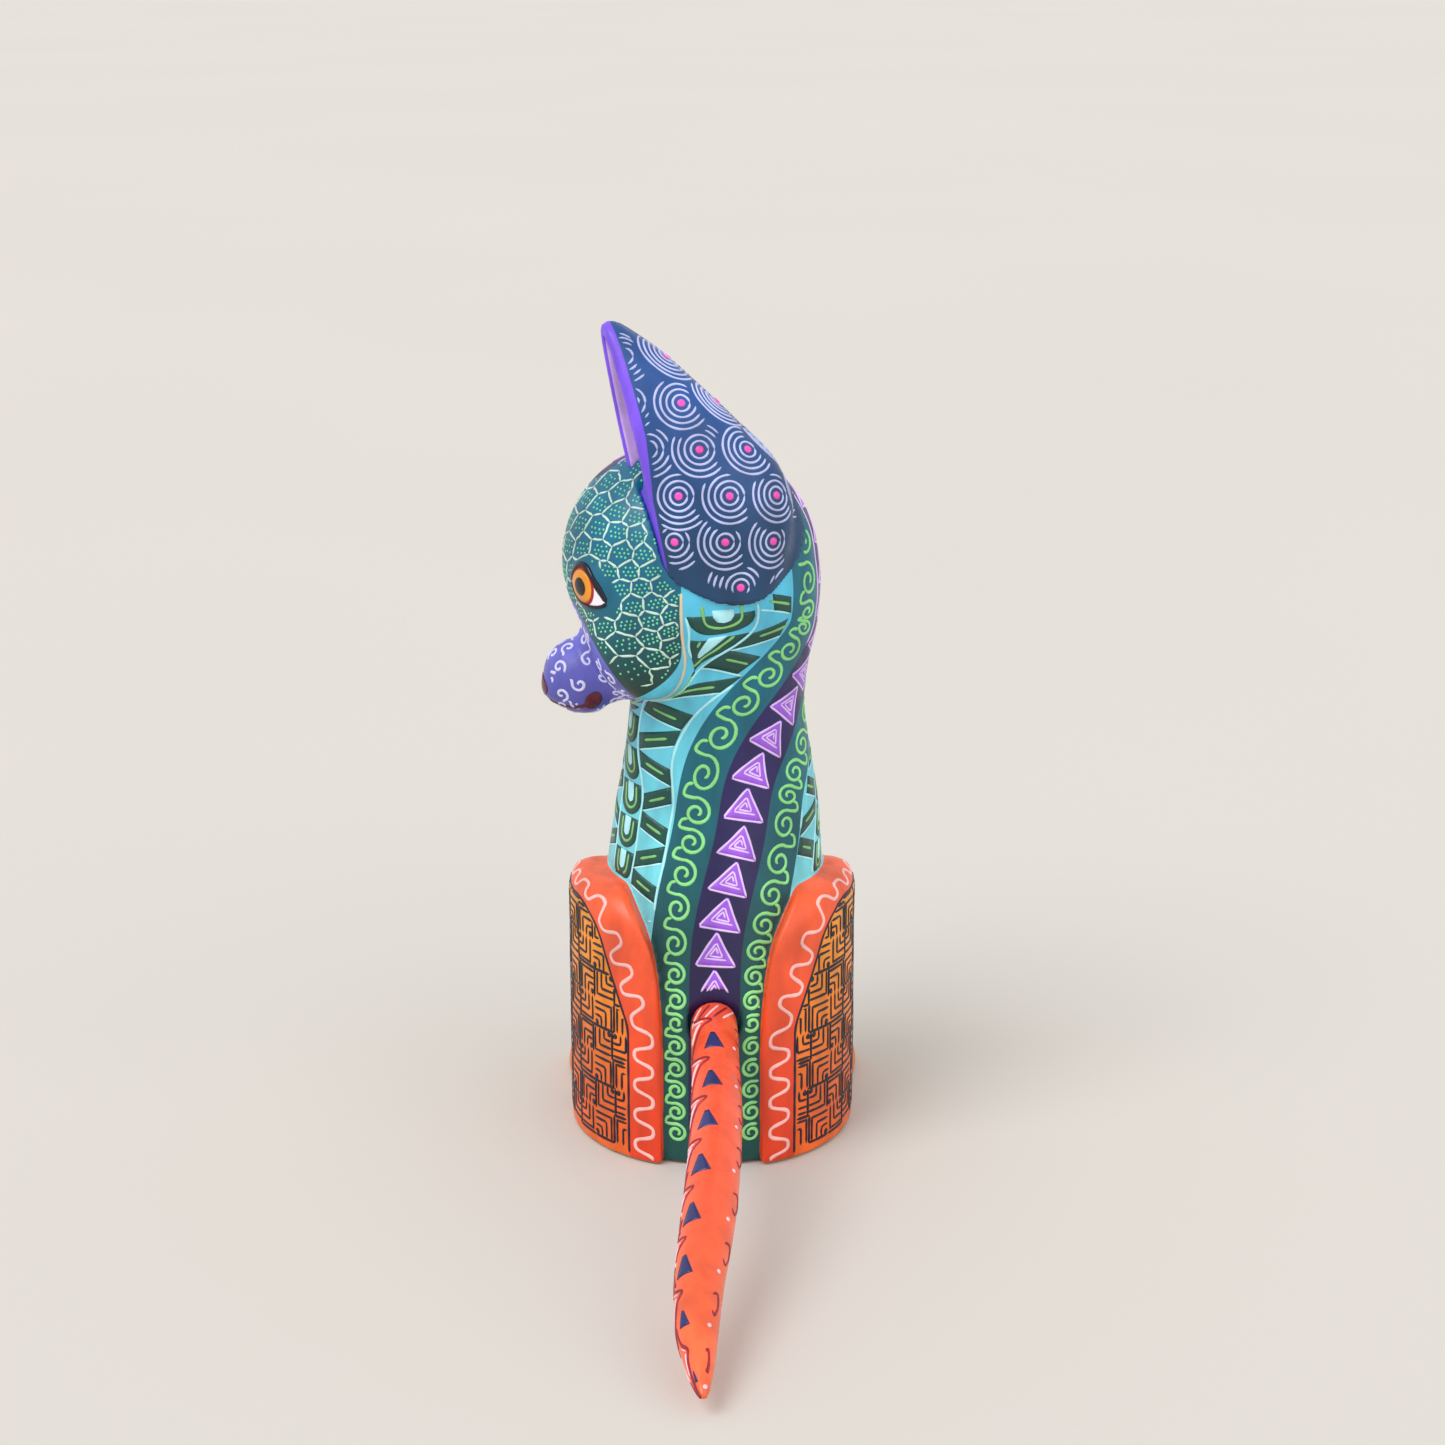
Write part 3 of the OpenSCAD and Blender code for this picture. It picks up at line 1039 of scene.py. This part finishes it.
wood = bare_wood()
for node in ("tail_peg", "ear_pins_left", "ear_pins_right"):
    pegs = frame["nodes"][node]
    pegs.data.materials.clear()
    pegs.data.materials.append(wood)

# ---------------------------------------------------------------- painted marks on the body


def clear_of_ears(p):
    return np.minimum(ear(p, 1), ear(p, -1)) > 0.4


def on_face(p):
    on_head = head(to_head(p)) < trunk(p)
    off_spine = spine_offset(p) > SPINE_HALF + 0.2
    off_muzzle = muzzle_area(p) < -0.3
    return (face_area(p) > 0.3) & off_muzzle & clear_of_ears(p) & off_eyes(p) & on_head & off_spine


def off_eyes(p):
    """Outside an oval round each eye's lids."""
    q = to_head(p)
    across = 0.82 * (np.abs(q[1]) - EYE_AT[1]) - 0.57 * (q[0] - EYE_AT[0])
    rise = q[2] - EYE_AT[2] + 2.0 * np.clip(across / 5.6, 0, 1) ** 1.3
    return ((across - 0.8) / 5.4) ** 2 + (rise / 4.3) ** 2 > 1


def away(q, place):
    """Distance in the head's frame from a place or its mirror image."""
    return np.sqrt((q[0] - place[0]) ** 2 + (np.abs(q[1]) - place[1]) ** 2 + (q[2] - place[2]) ** 2)


def on_muzzle(p):
    """On the muzzle's colour, clear of the nose and the mouth."""
    q = to_head(p)
    return (muzzle_area(p) > 0.4) & (away(q, NOSE_AT) > 4.4) & (away(q, MOUTH_AT) > 2.6)


def in_columns(p):
    """On the trunk outside the scroll bands, clear of haunches, legs, paws and the head."""
    return ((trunk(p) < haunches(p) - 0.3) & (face_area(p) < -0.6) & (hind_paws(p) > 1)
            & ((trunk(p) < legs(p) - 0.3) | (p[2] > 52)) & clear_of_ears(p)
            & (spine_offset(p) > SCROLL_HALF + 0.1))


def well_in_columns(p):
    return in_columns(p) & (trunk(p) < haunches(p) - 1.0) & (face_area(p) < -2.4)


def on_spine(p):
    return (haunches(p) > trunk(p) + 0.3) & (tail_hole(p, TAIL_POCKET_R + 0.8, -2, 12) > 0)


def on_panel(p):
    return (panel_area(p) > 0.2) & (haunch_area(p) > 0.1)


PAINTS = {}


def paint(name, keep, rgb, rough=(0.3, 0.45), field=body_blank, body_name="figure", slot="painted_body"):
    PAINTS[name] = (Paint(name, field, keep), body_name, slot, line_paint(name + "_paint", rgb, rough))
    return PAINTS[name][0]


def spine_marks():
    fills = paint("spine_triangles", on_spine, (158, 92, 226))
    edges = paint("spine_outlines", on_spine, (228, 198, 252))
    pitch = 6.1
    for k in range(int(SPINE_LENGTH / pitch)):
        s = 4.2 + k * pitch
        half, height = 3.45 + RNG.uniform(-0.2, 0.1), 5.4 + RNG.uniform(-0.3, 0.2)
        shift = RNG.uniform(-0.3, 0.3)
        along = np.linspace(s, s + height, 8)
        fills.fill(spine_chart(along, np.linspace(-half, shift - 0.25, 8)),
                   spine_chart(along, np.linspace(half, shift + 0.25, 8)), 0.06, 7)
        rim = resample([(s, -half), (s, half), (s + height, shift), (s, -half)], 0.5)
        edges.line(spine_chart(*rim.T), 0.42)
        curl = resample(triangle_spiral(2 * half * 0.6, height * 0.6)[:, ::-1] + (s + 1.1, shift * 0.4), 0.4)
        edges.line(spine_chart(*curl.T), 0.4, 0.4)
    crown_from = np.interp(96, spine_line[:, 2][:90], spine_run[:90])
    s = np.linspace(crown_from, SPINE_LENGTH - 1, 80)
    for side in (-1, 1):
        edges.line(spine_chart(s, side * (SPINE_HALF + 0.05 * np.sin(s))), 0.4, 0.8)


def scroll_marks():
    """Running scrolls: each curl winds in from a wave that joins it to its neighbours."""
    lines = paint("scroll_lines", lambda p: on_spine(p) & clear_of_ears(p) & (face_area(p) < 0),
                  (140, 226, 140))
    for side in (-1, 1):
        s = SPINE_LENGTH - 3
        while s > 2:
            wide = smooth_step(s, 26, 50)
            pitch = 3.9 + 1.6 * wide
            middle = 6.3 + 1.5 * wide
            size = 1.8 + 0.8 * wide + RNG.uniform(-0.12, 0.08)
            curl = spiral(1.55, size, 0.42, start=math.radians(45), hand=-1)
            lead = [(pitch - size / 2, size * 0.48), (pitch * 0.7, size * 0.86), (size * 0.98, size * 0.96)]
            path = np.vstack([spline(lead + [curl[1], curl[2]], 4)[:-1], curl[2:]])
            lines.line(spine_chart(s + path[:, 0], side * (middle + path[:, 1])), 0.6, 0.35)
            s -= pitch


def tongue(u, z, half, depth, top):
    """Left and right edges of a tongue whose round end is about (u, z)."""
    bow = circle(1.0, 24)[12:] * (half, depth) + (u, z)
    left = np.vstack([(u - half, top), bow[:7]])
    right = np.vstack([(u + half, top), bow[:5:-1]])
    return left, right


def column_marks():
    """Columns round the trunk: zigzag bars and then rows of tongues, with a pale line between them."""
    cyan = paint("column_lines", in_columns, (176, 240, 250))
    green = paint("column_strokes", well_in_columns, (128, 196, 112))
    dark = paint("column_shapes", in_columns, (8, 74, 66))
    width = 6.0
    tongue_pitch = 5.6
    bar_rise = 2.0
    bar_height = 2.7
    bar_pitch = 4.8
    bow = circle(1.0, 24)[12:]
    for side in (-1, 1):
        def at(flat):
            return trunk_chart(side * flat[:, 0], flat[:, 1])

        for column in range(6):
            u = SCROLL_HALF + 0.4 + (column + 0.5) * width

            def past_front(z):
                return trunk_turn(u + width / 2, z) > math.pi - CHEST_HALF / trunk_radius(z)

            if column % 2 == 0:
                for k in range(26):
                    z = 1.0 + k * bar_pitch
                    if past_front(z):
                        continue
                    ends = (-1, 1) if k % 2 else (1, -1)
                    a = np.linspace((u + ends[0] * 2.75, z), (u + ends[1] * 2.75, z + bar_rise), 6)
                    b = a + (0, bar_height)
                    one, other = (b, a) if (k % 2) == (side > 0) else (a, b)
                    dark.fill(at(one), at(other), 0.05, 5)
                    middle = (a + b)[1:-1] / 2 + (0, RNG.uniform(-0.15, 0.15))
                    green.line(at(middle), 0.55)
                    cyan.line(at(a + (0, -0.15)), 0.38)
            else:
                for k in range(17):
                    z = 1.0 + k * tongue_pitch
                    if past_front(z):
                        continue
                    dark.fill(*map(at, tongue(u, z + 2.6, 2.8, 2.5, z + 5.3)[::-side]), 0.05, 7)
                    stroke = bow * (1.55, 1.6) + (u, z + 2.8)
                    stroke = np.vstack([(u - 1.55, z + 5.0), stroke, (u + 1.55, z + 5.0)])
                    green.line(at(stroke), 0.55, 0.4)
                    cyan.fill(*map(at, tongue(u, z + 3.0, 0.85, 0.9, z + 5.3)[::-side]), 0.09, 5)
            z = np.linspace(1, 101, 160)
            z = z[~past_front(z)]
            for edge in ((-0.5, 0.5) if column == 0 else (0.5,)):
                cyan.line(at(np.stack([u + width * edge + 0.1 * np.sin(z / 1.7), z], 1)), 0.5, 0.7)


def chest_marks():
    """Chevrons down the front, opposite the spine."""
    dark = paint("chest_shapes", in_columns, (8, 74, 66))
    green = paint("chest_strokes", well_in_columns, (128, 196, 112))
    for k in range(22):
        z = 3.0 + k * 4.4
        vee = np.array([(-CHEST_HALF, 1.9), (0.0, 0.0), (CHEST_HALF, 1.9)])
        for marks, width, lift in ((dark, 1.9, 0.08), (green, 0.5, 0.13)):
            flat = resample(vee, 0.4)
            turn = math.radians(SPINE_BACK) + math.pi + flat[:, 0] / trunk_radius(z)
            marks.line(on_trunk(turn, z + flat[:, 1]), width, 0.4, lift)


def nested_corners(size, count):
    """L shapes nested in one corner of a square cell."""
    out = []
    for k in range(count):
        a = (k + 0.5) / count - 0.5
        out.append(np.array([(a, -0.5), (a, -a), (0.5, -a)]) * size)
    return out


def haunch_marks():
    fret = paint("haunch_fret", on_panel, (22, 14, 36))
    wave = paint("haunch_waves", lambda p: (panel_area(p) < -0.6) & (haunches(p) < trunk(p) - 0.3)
                 & (hind_paws(p) > 0.6), (255, 194, 190))
    outline = paint("haunch_outlines", lambda p: haunches(p) < trunk(p) + 0.4, (36, 18, 48))
    cell = 5.0
    wave_pitch, wave_reach = 5.4, 1.75
    for side in (-1, 1):
        chart = haunch_chart(side)
        for i in range(-5, 6):
            for j in range(11):
                u, v = (i + 0.5) * cell + 0.35 * math.sin(j * 1.7), 2.0 + (j + 0.5) * cell
                turn = math.pi / 2 * ((i + 2 * j) % 4)
                for corner in nested_corners(cell * 0.96, 4):
                    corner = corner + (RNG.uniform(-0.1, 0.1), RNG.uniform(-0.1, 0.1))
                    fret.line(placed(chart, corner, u, v, turn), 0.5, 0.5)
                frame_line = np.array([(-0.5, 0.5), (0.5, 0.5), (0.5, -0.5)]) * cell
                fret.line(placed(chart, frame_line, u, v, turn), 0.55, 0.5)
                blob = placed(chart, np.array([(0.28, -0.42), (0.44, -0.3)]) * cell, u, v, turn)
                fret.line(blob, 1.3, 0.25, 0.14)
        rim = rounded_outline(PANEL_CORE, PANEL_ROUND)
        normal = unit(np.stack([np.gradient(rim[:, 1]), -np.gradient(rim[:, 0])], 1))
        outline.line(chart(rim[:, 0], rim[:, 1]), 0.5, 0.5)
        run = run_along(rim)
        swing = np.tanh(1.8 * np.sin(run * 2 * math.pi / wave_pitch)) / np.tanh(1.8)
        path = rim + normal * (3.0 + wave_reach * swing)[:, None]
        wave.line(chart(path[:, 0], path[:, 1]), 0.68, 0.35)


def leg_marks():
    """Rows of chevrons and dots down the forelegs."""
    def on_legs(p):
        return (legs(p) < trunk(p) - 0.5) & (legs(p) < haunches(p)) & (p[2] < 50)

    green = paint("leg_chevrons", on_legs, (140, 226, 140))
    cyan = paint("leg_dots", on_legs, (120, 222, 238))
    turn = np.radians(np.linspace(190, 350, 30))
    bend = 1.6 * np.abs(np.sin((turn - turn[0]) * 4.5))
    for side in (-1, 1):
        for k in range(10):
            ring = on_loft(foreleg, turn, 8.5 + k * 4.2) * (side, 1, 1)
            ring[:, 2] += bend
            green.line(ring, 0.55, 0.4)
            for point in ring[3::5]:
                cyan.dot(point + (0, 0, 2.1), 0.42)


def paw_marks():
    dark = paint("paw_lines", lambda p: p[2] > 0.7, (60, 20, 40))
    for side in (-1, 1):
        for x, y in ((20.0, -24.6), (8.4, -26.6)):
            for toe in (-0.5, 0.5):
                z = np.linspace(0.9, 5.2, 8)
                line = np.stack([np.full(8, side * (x + 3.4 * toe)), np.full(8, y - 5.0), z], 1)
                dark.line(line, 0.5)


def honeycomb(cell, reach, jitter):
    """Corners shared by jittered six-sided cells: the cells' middles and all edges once."""
    middles, edges, corners = [], {}, {}
    count = int(reach / cell) + 2
    r = cell / math.sqrt(3)

    def corner(x, y):
        key = (round(x, 2), round(y, 2))
        if key not in corners:
            corners[key] = (x + RNG.uniform(-jitter, jitter), y + RNG.uniform(-jitter, jitter))
        return key

    for j in range(-count, count + 1):
        for i in range(-count, count + 1):
            x, y = (i + 0.5 * (j % 2)) * cell, j * cell * 0.866
            if math.hypot(x, y) > reach:
                continue
            middles.append((x, y))
            turns = [k * math.pi / 3 for k in range(6)]
            ring = [corner(x + r * math.sin(a), y + r * math.cos(a)) for a in turns]
            for a, b in zip(ring, ring[1:] + ring[:1]):
                edges[tuple(sorted((a, b)))] = (corners[a], corners[b])
    return middles, list(edges.values())


def face_marks():
    net = paint("face_network", on_face, (200, 232, 214))
    dots = paint("face_dots", on_face, (116, 218, 164))
    chart = polar_chart((0, 0, -3), (1, 0, -0.1), 17.5)
    cell = 3.9
    spacing = 0.82
    middles, edges = honeycomb(cell, 29, 0.5)
    for a, b in edges:
        path = np.linspace(a, b, 5)
        path[1:-1] += [(RNG.uniform(-0.1, 0.1), RNG.uniform(-0.1, 0.1)) for _ in range(3)]
        net.line(chart(path[:, 0], path[:, 1]), 0.4, 0.45)
    for x, y in middles:
        for i in range(-2, 3):
            for j in range(-2, 3):
                du, dv = (i + 0.5 * (j % 2) - 0.25) * spacing, j * spacing * 0.92
                if math.hypot(du, dv) < 0.38 * cell:
                    u = x + du + RNG.uniform(-0.08, 0.08)
                    v = y + dv + RNG.uniform(-0.08, 0.08)
                    dots.dot(chart(np.array([u]), np.array([v]))[0], 0.23, 0.12)
    hoop = np.linspace(math.radians(-75), math.radians(255), 180)
    up = SKULL[2] * np.sin(hoop) * 1.1
    q = (FACE_FROM + 0.12 * np.maximum(-14 - up, 0) ** 2, SKULL[1] * np.cos(hoop), up)
    edge = paint("face_border", clear_of_ears, (222, 206, 176))
    edge.line(np.stack(from_head(q), 1), 0.55, 0.5)


def scattered(points, gap):
    """Points taken in a shuffled order, each at least a gap from those taken before it."""
    order = list(range(len(points)))
    RNG.shuffle(order)
    taken = points[order[:1]]
    for k in order:
        if np.linalg.norm(taken - points[k], axis=1).min() > gap:
            taken = np.vstack([taken, points[k]])
    return taken


def muzzle_marks():
    curls = paint("muzzle_curls", on_muzzle, (216, 216, 255))
    open_points = body_points[on_muzzle(body_at)].astype(float)
    centres, normals = snap(body_blank, scattered(open_points, 2.65))
    right = unit(np.cross((0, 0, 1.0), normals))
    top = np.cross(normals, right)
    for k, centre in enumerate(centres):
        curl = spiral(1.15, 0.2, 1.3, RNG.uniform(0, 2 * math.pi), RNG.choice((-1, 1)), 18)
        loose_end = curl[-1] * 1.35 + (RNG.uniform(-0.3, 0.3), RNG.uniform(-0.3, 0.3))
        flat = resample(np.vstack([curl, loose_end]), 0.4)
        curls.line(centre + flat[:, :1] * right[k] + flat[:, 1:] * top[k], 0.52, 0.3)
    maroon = paint("nose_and_mouth", None, (92, 8, 40), (0.16, 0.28))

    def pad(chart, half_width, half_height, lift):
        lower, upper = oval_edges(half_width, half_height)
        maroon.fill(chart(*lower.T), chart(*upper.T), lift, 9, 0.4)

    pad(tangent_chart(body_blank, from_head(NOSE_AT)), 3.9, 1.9, 0.12)
    for side in (-1, 1):
        corner = from_head(mirrored(MOUTH_AT, side))
        pad(tangent_chart(body_blank, corner, (1, 0, 0.3)), 1.9, 1.5, 0.1)
        turn = np.linspace(0, 1, 16)
        lip = (22.6 - 7.2 * turn, side * (1.2 + 3.6 * turn), -22.6 - 0.8 * np.sin(turn * 3.1) - 0.6 * turn)
        maroon.line(np.stack(from_head(lip), 1), 0.9, 0.4, 0.14)


def eye_marks():
    black = paint("eye_outlines", None, (16, 10, 30), (0.14, 0.24))
    white = paint("eye_whites", None, (246, 240, 252), (0.14, 0.24))
    red = paint("eye_rings", None, (168, 22, 22), (0.14, 0.24))
    orange = paint("eye_irises", None, (238, 152, 30), (0.14, 0.24))
    pupil = paint("eye_pupils", None, (10, 8, 16), (0.1, 0.18))
    for side in (1, -1):
        chart = tangent_chart(body_blank, from_head(mirrored(EYE_AT, side)))

        def at(flat):
            flat = np.asarray(flat, float)
            return chart(flat[:, 0] * side, flat[:, 1])

        across = np.linspace(-4.0, 5.6, 24)
        t = (across + 4.0) / 9.6
        lean = -2.0 * np.clip(across / 5.6, 0, 1) ** 1.3
        swell = np.sin(math.pi * t ** 0.8) ** 0.75
        upper = np.stack([across, lean + 3.8 * swell], 1)
        lower = np.stack([across, lean - 3.3 * swell], 1)
        white.fill(*map(at, (lower, upper)[::side]), 0.06, 9, 0.5)
        for paint_of, r, lift in ((red, 3.4, 0.1), (orange, 2.85, 0.14), (pupil, 1.5, 0.18)):
            paint_of.fill(*map(at, oval_edges(r, r)[::side]), lift, 9, 0.45)
        black.line(at(upper), 1.1, 0.4, 0.24)
        black.line(at(lower), 0.7, 0.4, 0.22)


# ---------------------------------------------------------------- painted marks on ears and tail


def ear_marks(side, word):
    """Overlapping sets of rings in staggered rows, each with a dot in its middle."""
    def field(p):
        return ear_blank(p, side)

    def keep(p):
        q = mirrored(to_head(p), side)
        return (opening(q) < -0.2 - rim_band(q)) & (head_side(q) > 1.3) & (ear_outside(q) > -1)

    place = {"field": field, "slot": "painted_ears"}
    rings = paint("ear_rings_" + word, keep, (188, 196, 242), **place)
    dots = paint("ear_dots_" + word, keep, (250, 82, 190), **place)
    centres = []
    row_pitch, ring_pitch = 7.2, 8.0
    turn = np.radians(np.arange(-60, 241, 0.5))
    for row, z in enumerate(np.arange(-3.5, 36, row_pitch)):
        loop = on_loft(ear_outside, turn, z)
        run = run_along(loop)
        for at in np.arange(0.5 * ring_pitch * (row % 2), run[-1], ring_pitch):
            q = [np.interp(at, run, loop[:, k]) for k in range(3)]
            centres.append(from_head(mirrored(q, side)))
    centres, normals = snap(field, np.array(centres))
    right = unit(np.cross((0, 0, 1.0), normals))
    top = np.cross(normals, right)
    reach = np.array([5.3 + RNG.uniform(-0.6, 0.4) for _ in centres])
    loops, owners = [], []
    for k, centre in enumerate(centres):
        q = mirrored(to_head(tuple(centre)), side)
        if opening(q) < -1.1 - rim_band(q):
            dots.dot(centre, 0.75, 0.16)
        for r in np.arange(1.4, reach[k], 0.98):
            ring = circle(r, int(10 + 6 * r))
            loops.append(centre + ring[:, :1] * right[k] + ring[:, 1:] * top[k])
            owners.append(k)
    points, _ = snap(field, np.vstack(loops), 3)
    at = 0
    for loop, k in zip(loops, owners):
        ring = points[at:at + len(loop)]
        at += len(loop)
        gap = np.linalg.norm(ring[:, None] - centres[None, k + 1:], axis=2) - reach[None, k + 1:]
        for part in stretches((gap > 0.1).all(1), 4):
            rings.line(ring[part], 0.4, 0.5)


def tail_marks():
    """Teeth with highlights on one flank, wedges beside them, hooks and dots on the other."""
    place = {"field": tail, "body_name": "tail", "slot": "painted_tail"}
    red = paint("tail_red_lines", None, (150, 22, 48), (0.2, 0.34), **place)
    light = paint("tail_highlights", None, (255, 206, 216), (0.2, 0.34), **place)
    navy = paint("tail_wedges", None, (38, 44, 104), (0.2, 0.34), **place)
    pitch = 10.2
    for k in range(8):
        u = 4.5 + k * pitch
        small = min(1, (94 - u) / 40)
        row = 0.2 + 2.6 * min(u / 50, 1)
        for flank, turn in ((1, 0.0), (-1, 12.5)):
            def at(points):
                points = spline(np.array(points) * (1, small), 6)
                return tail_chart(points[:, 0], flank * (points[:, 1] + row) + turn)

            tooth = [(u - 4.2, 5.4), (u - 1.0, 3.9), (u + 0.6, 0.2)]
            tooth += [(u + 2.2, 2.0), (u + 5.6, 3.7), (u + 9, 5.2)]
            red.line(at(tooth), 0.5, 0.4)
            light.line(at([(u + 0.9, 2.2), (u + 2.2, 3.3), (u + 4.6, 4.6)]), 0.95 * small, 0.4)
            light.line(at([(u - 0.4, 4.4), (u + 0.2, 3.2), (u + 0.7, 1.5)]), 0.45 * small, 0.4)
        wedge = 1.7 * small
        a = np.linspace((u + 4.2, row - wedge * 0.2), (u + 4.2 + 3.9 * small, row - 0.2 - wedge), 6)
        b = np.linspace((u + 4.2, row + wedge * 0.2), (u + 4.2 + 3.9 * small, row - 0.2 + wedge), 6)
        navy.fill(tail_chart(*a.T), tail_chart(*b.T), 0.07, 5, 0.5)
        hook = [(u + 1.2, -3.9), (u + 0.6, -5.3), (u + 2.6, -6.1), (u + 4.6, -5.0), (u + 4.0, -4.1)]
        hook = spline(np.array(hook) * (1, small), 6)
        red.line(tail_chart(*hook.T), 0.45, 0.4)
        light.dot(tail_chart(np.array([u + 6.8]), np.array([-3.6 * small]))[0], 0.42)
    for k in range(6):
        v = -3 + 1.6 * k
        streak = spline(np.array([(1.0, v - 1.0), (2.4, v), (4.6, v + 1.6)]), 6)
        (red if k % 2 else light).line(tail_chart(*streak.T), 0.42, 0.4)


spine_marks()
scroll_marks()
column_marks()
chest_marks()
haunch_marks()
leg_marks()
paw_marks()
face_marks()
muzzle_marks()
eye_marks()
for side, word in ((1, "left"), (-1, "right")):
    ear_marks(side, word)
tail_marks()
for piece, body_name, slot, material in PAINTS.values():
    piece.build(body_name, slot, material)

# ---------------------------------------------------------------- stage


FLOOR_SIZE = 40.0


def add_floor():
    bpy.ops.mesh.primitive_grid_add(x_subdivisions=2, y_subdivisions=2, size=FLOOR_SIZE,
                                    location=(0, 0, -0.0001))
    floor = bpy.context.object
    floor.name = "floor"
    nodes = Nodes("pale_floor")
    tone = nodes.mix(nodes.noise(3, 2), colour(209, 206, 202), colour(213, 210, 206))
    nodes.link(tone, nodes.shader.inputs["Base Color"])
    nodes.shader.inputs["Roughness"].default_value = 0.9
    nodes.shader.inputs["Specular IOR Level"].default_value = 0.0
    floor.data.materials.append(nodes.material)


def add_sun(name, azimuth, elevation, strength, spread):
    data = bpy.data.lights.new(name, "SUN")
    data.energy = strength
    data.angle = math.radians(spread)
    light = bpy.data.objects.new(name, data)
    light.rotation_euler = Euler((math.radians(90 - elevation), 0, math.radians(azimuth)))
    bpy.context.scene.collection.objects.link(light)


def add_world():
    world = bpy.data.worlds.new("studio")
    world.use_nodes = True
    backdrop = world.node_tree.nodes["Background"]
    backdrop.inputs["Color"].default_value = colour(240, 237, 232)
    backdrop.inputs["Strength"].default_value = 0.92
    bpy.context.scene.world = world


add_floor()
add_sun("key", 130, 52, 1.35, 35)
add_sun("fill", 225, 28, 0.55, 60)
add_world()
bpy.context.scene.view_settings.view_transform = "Standard"
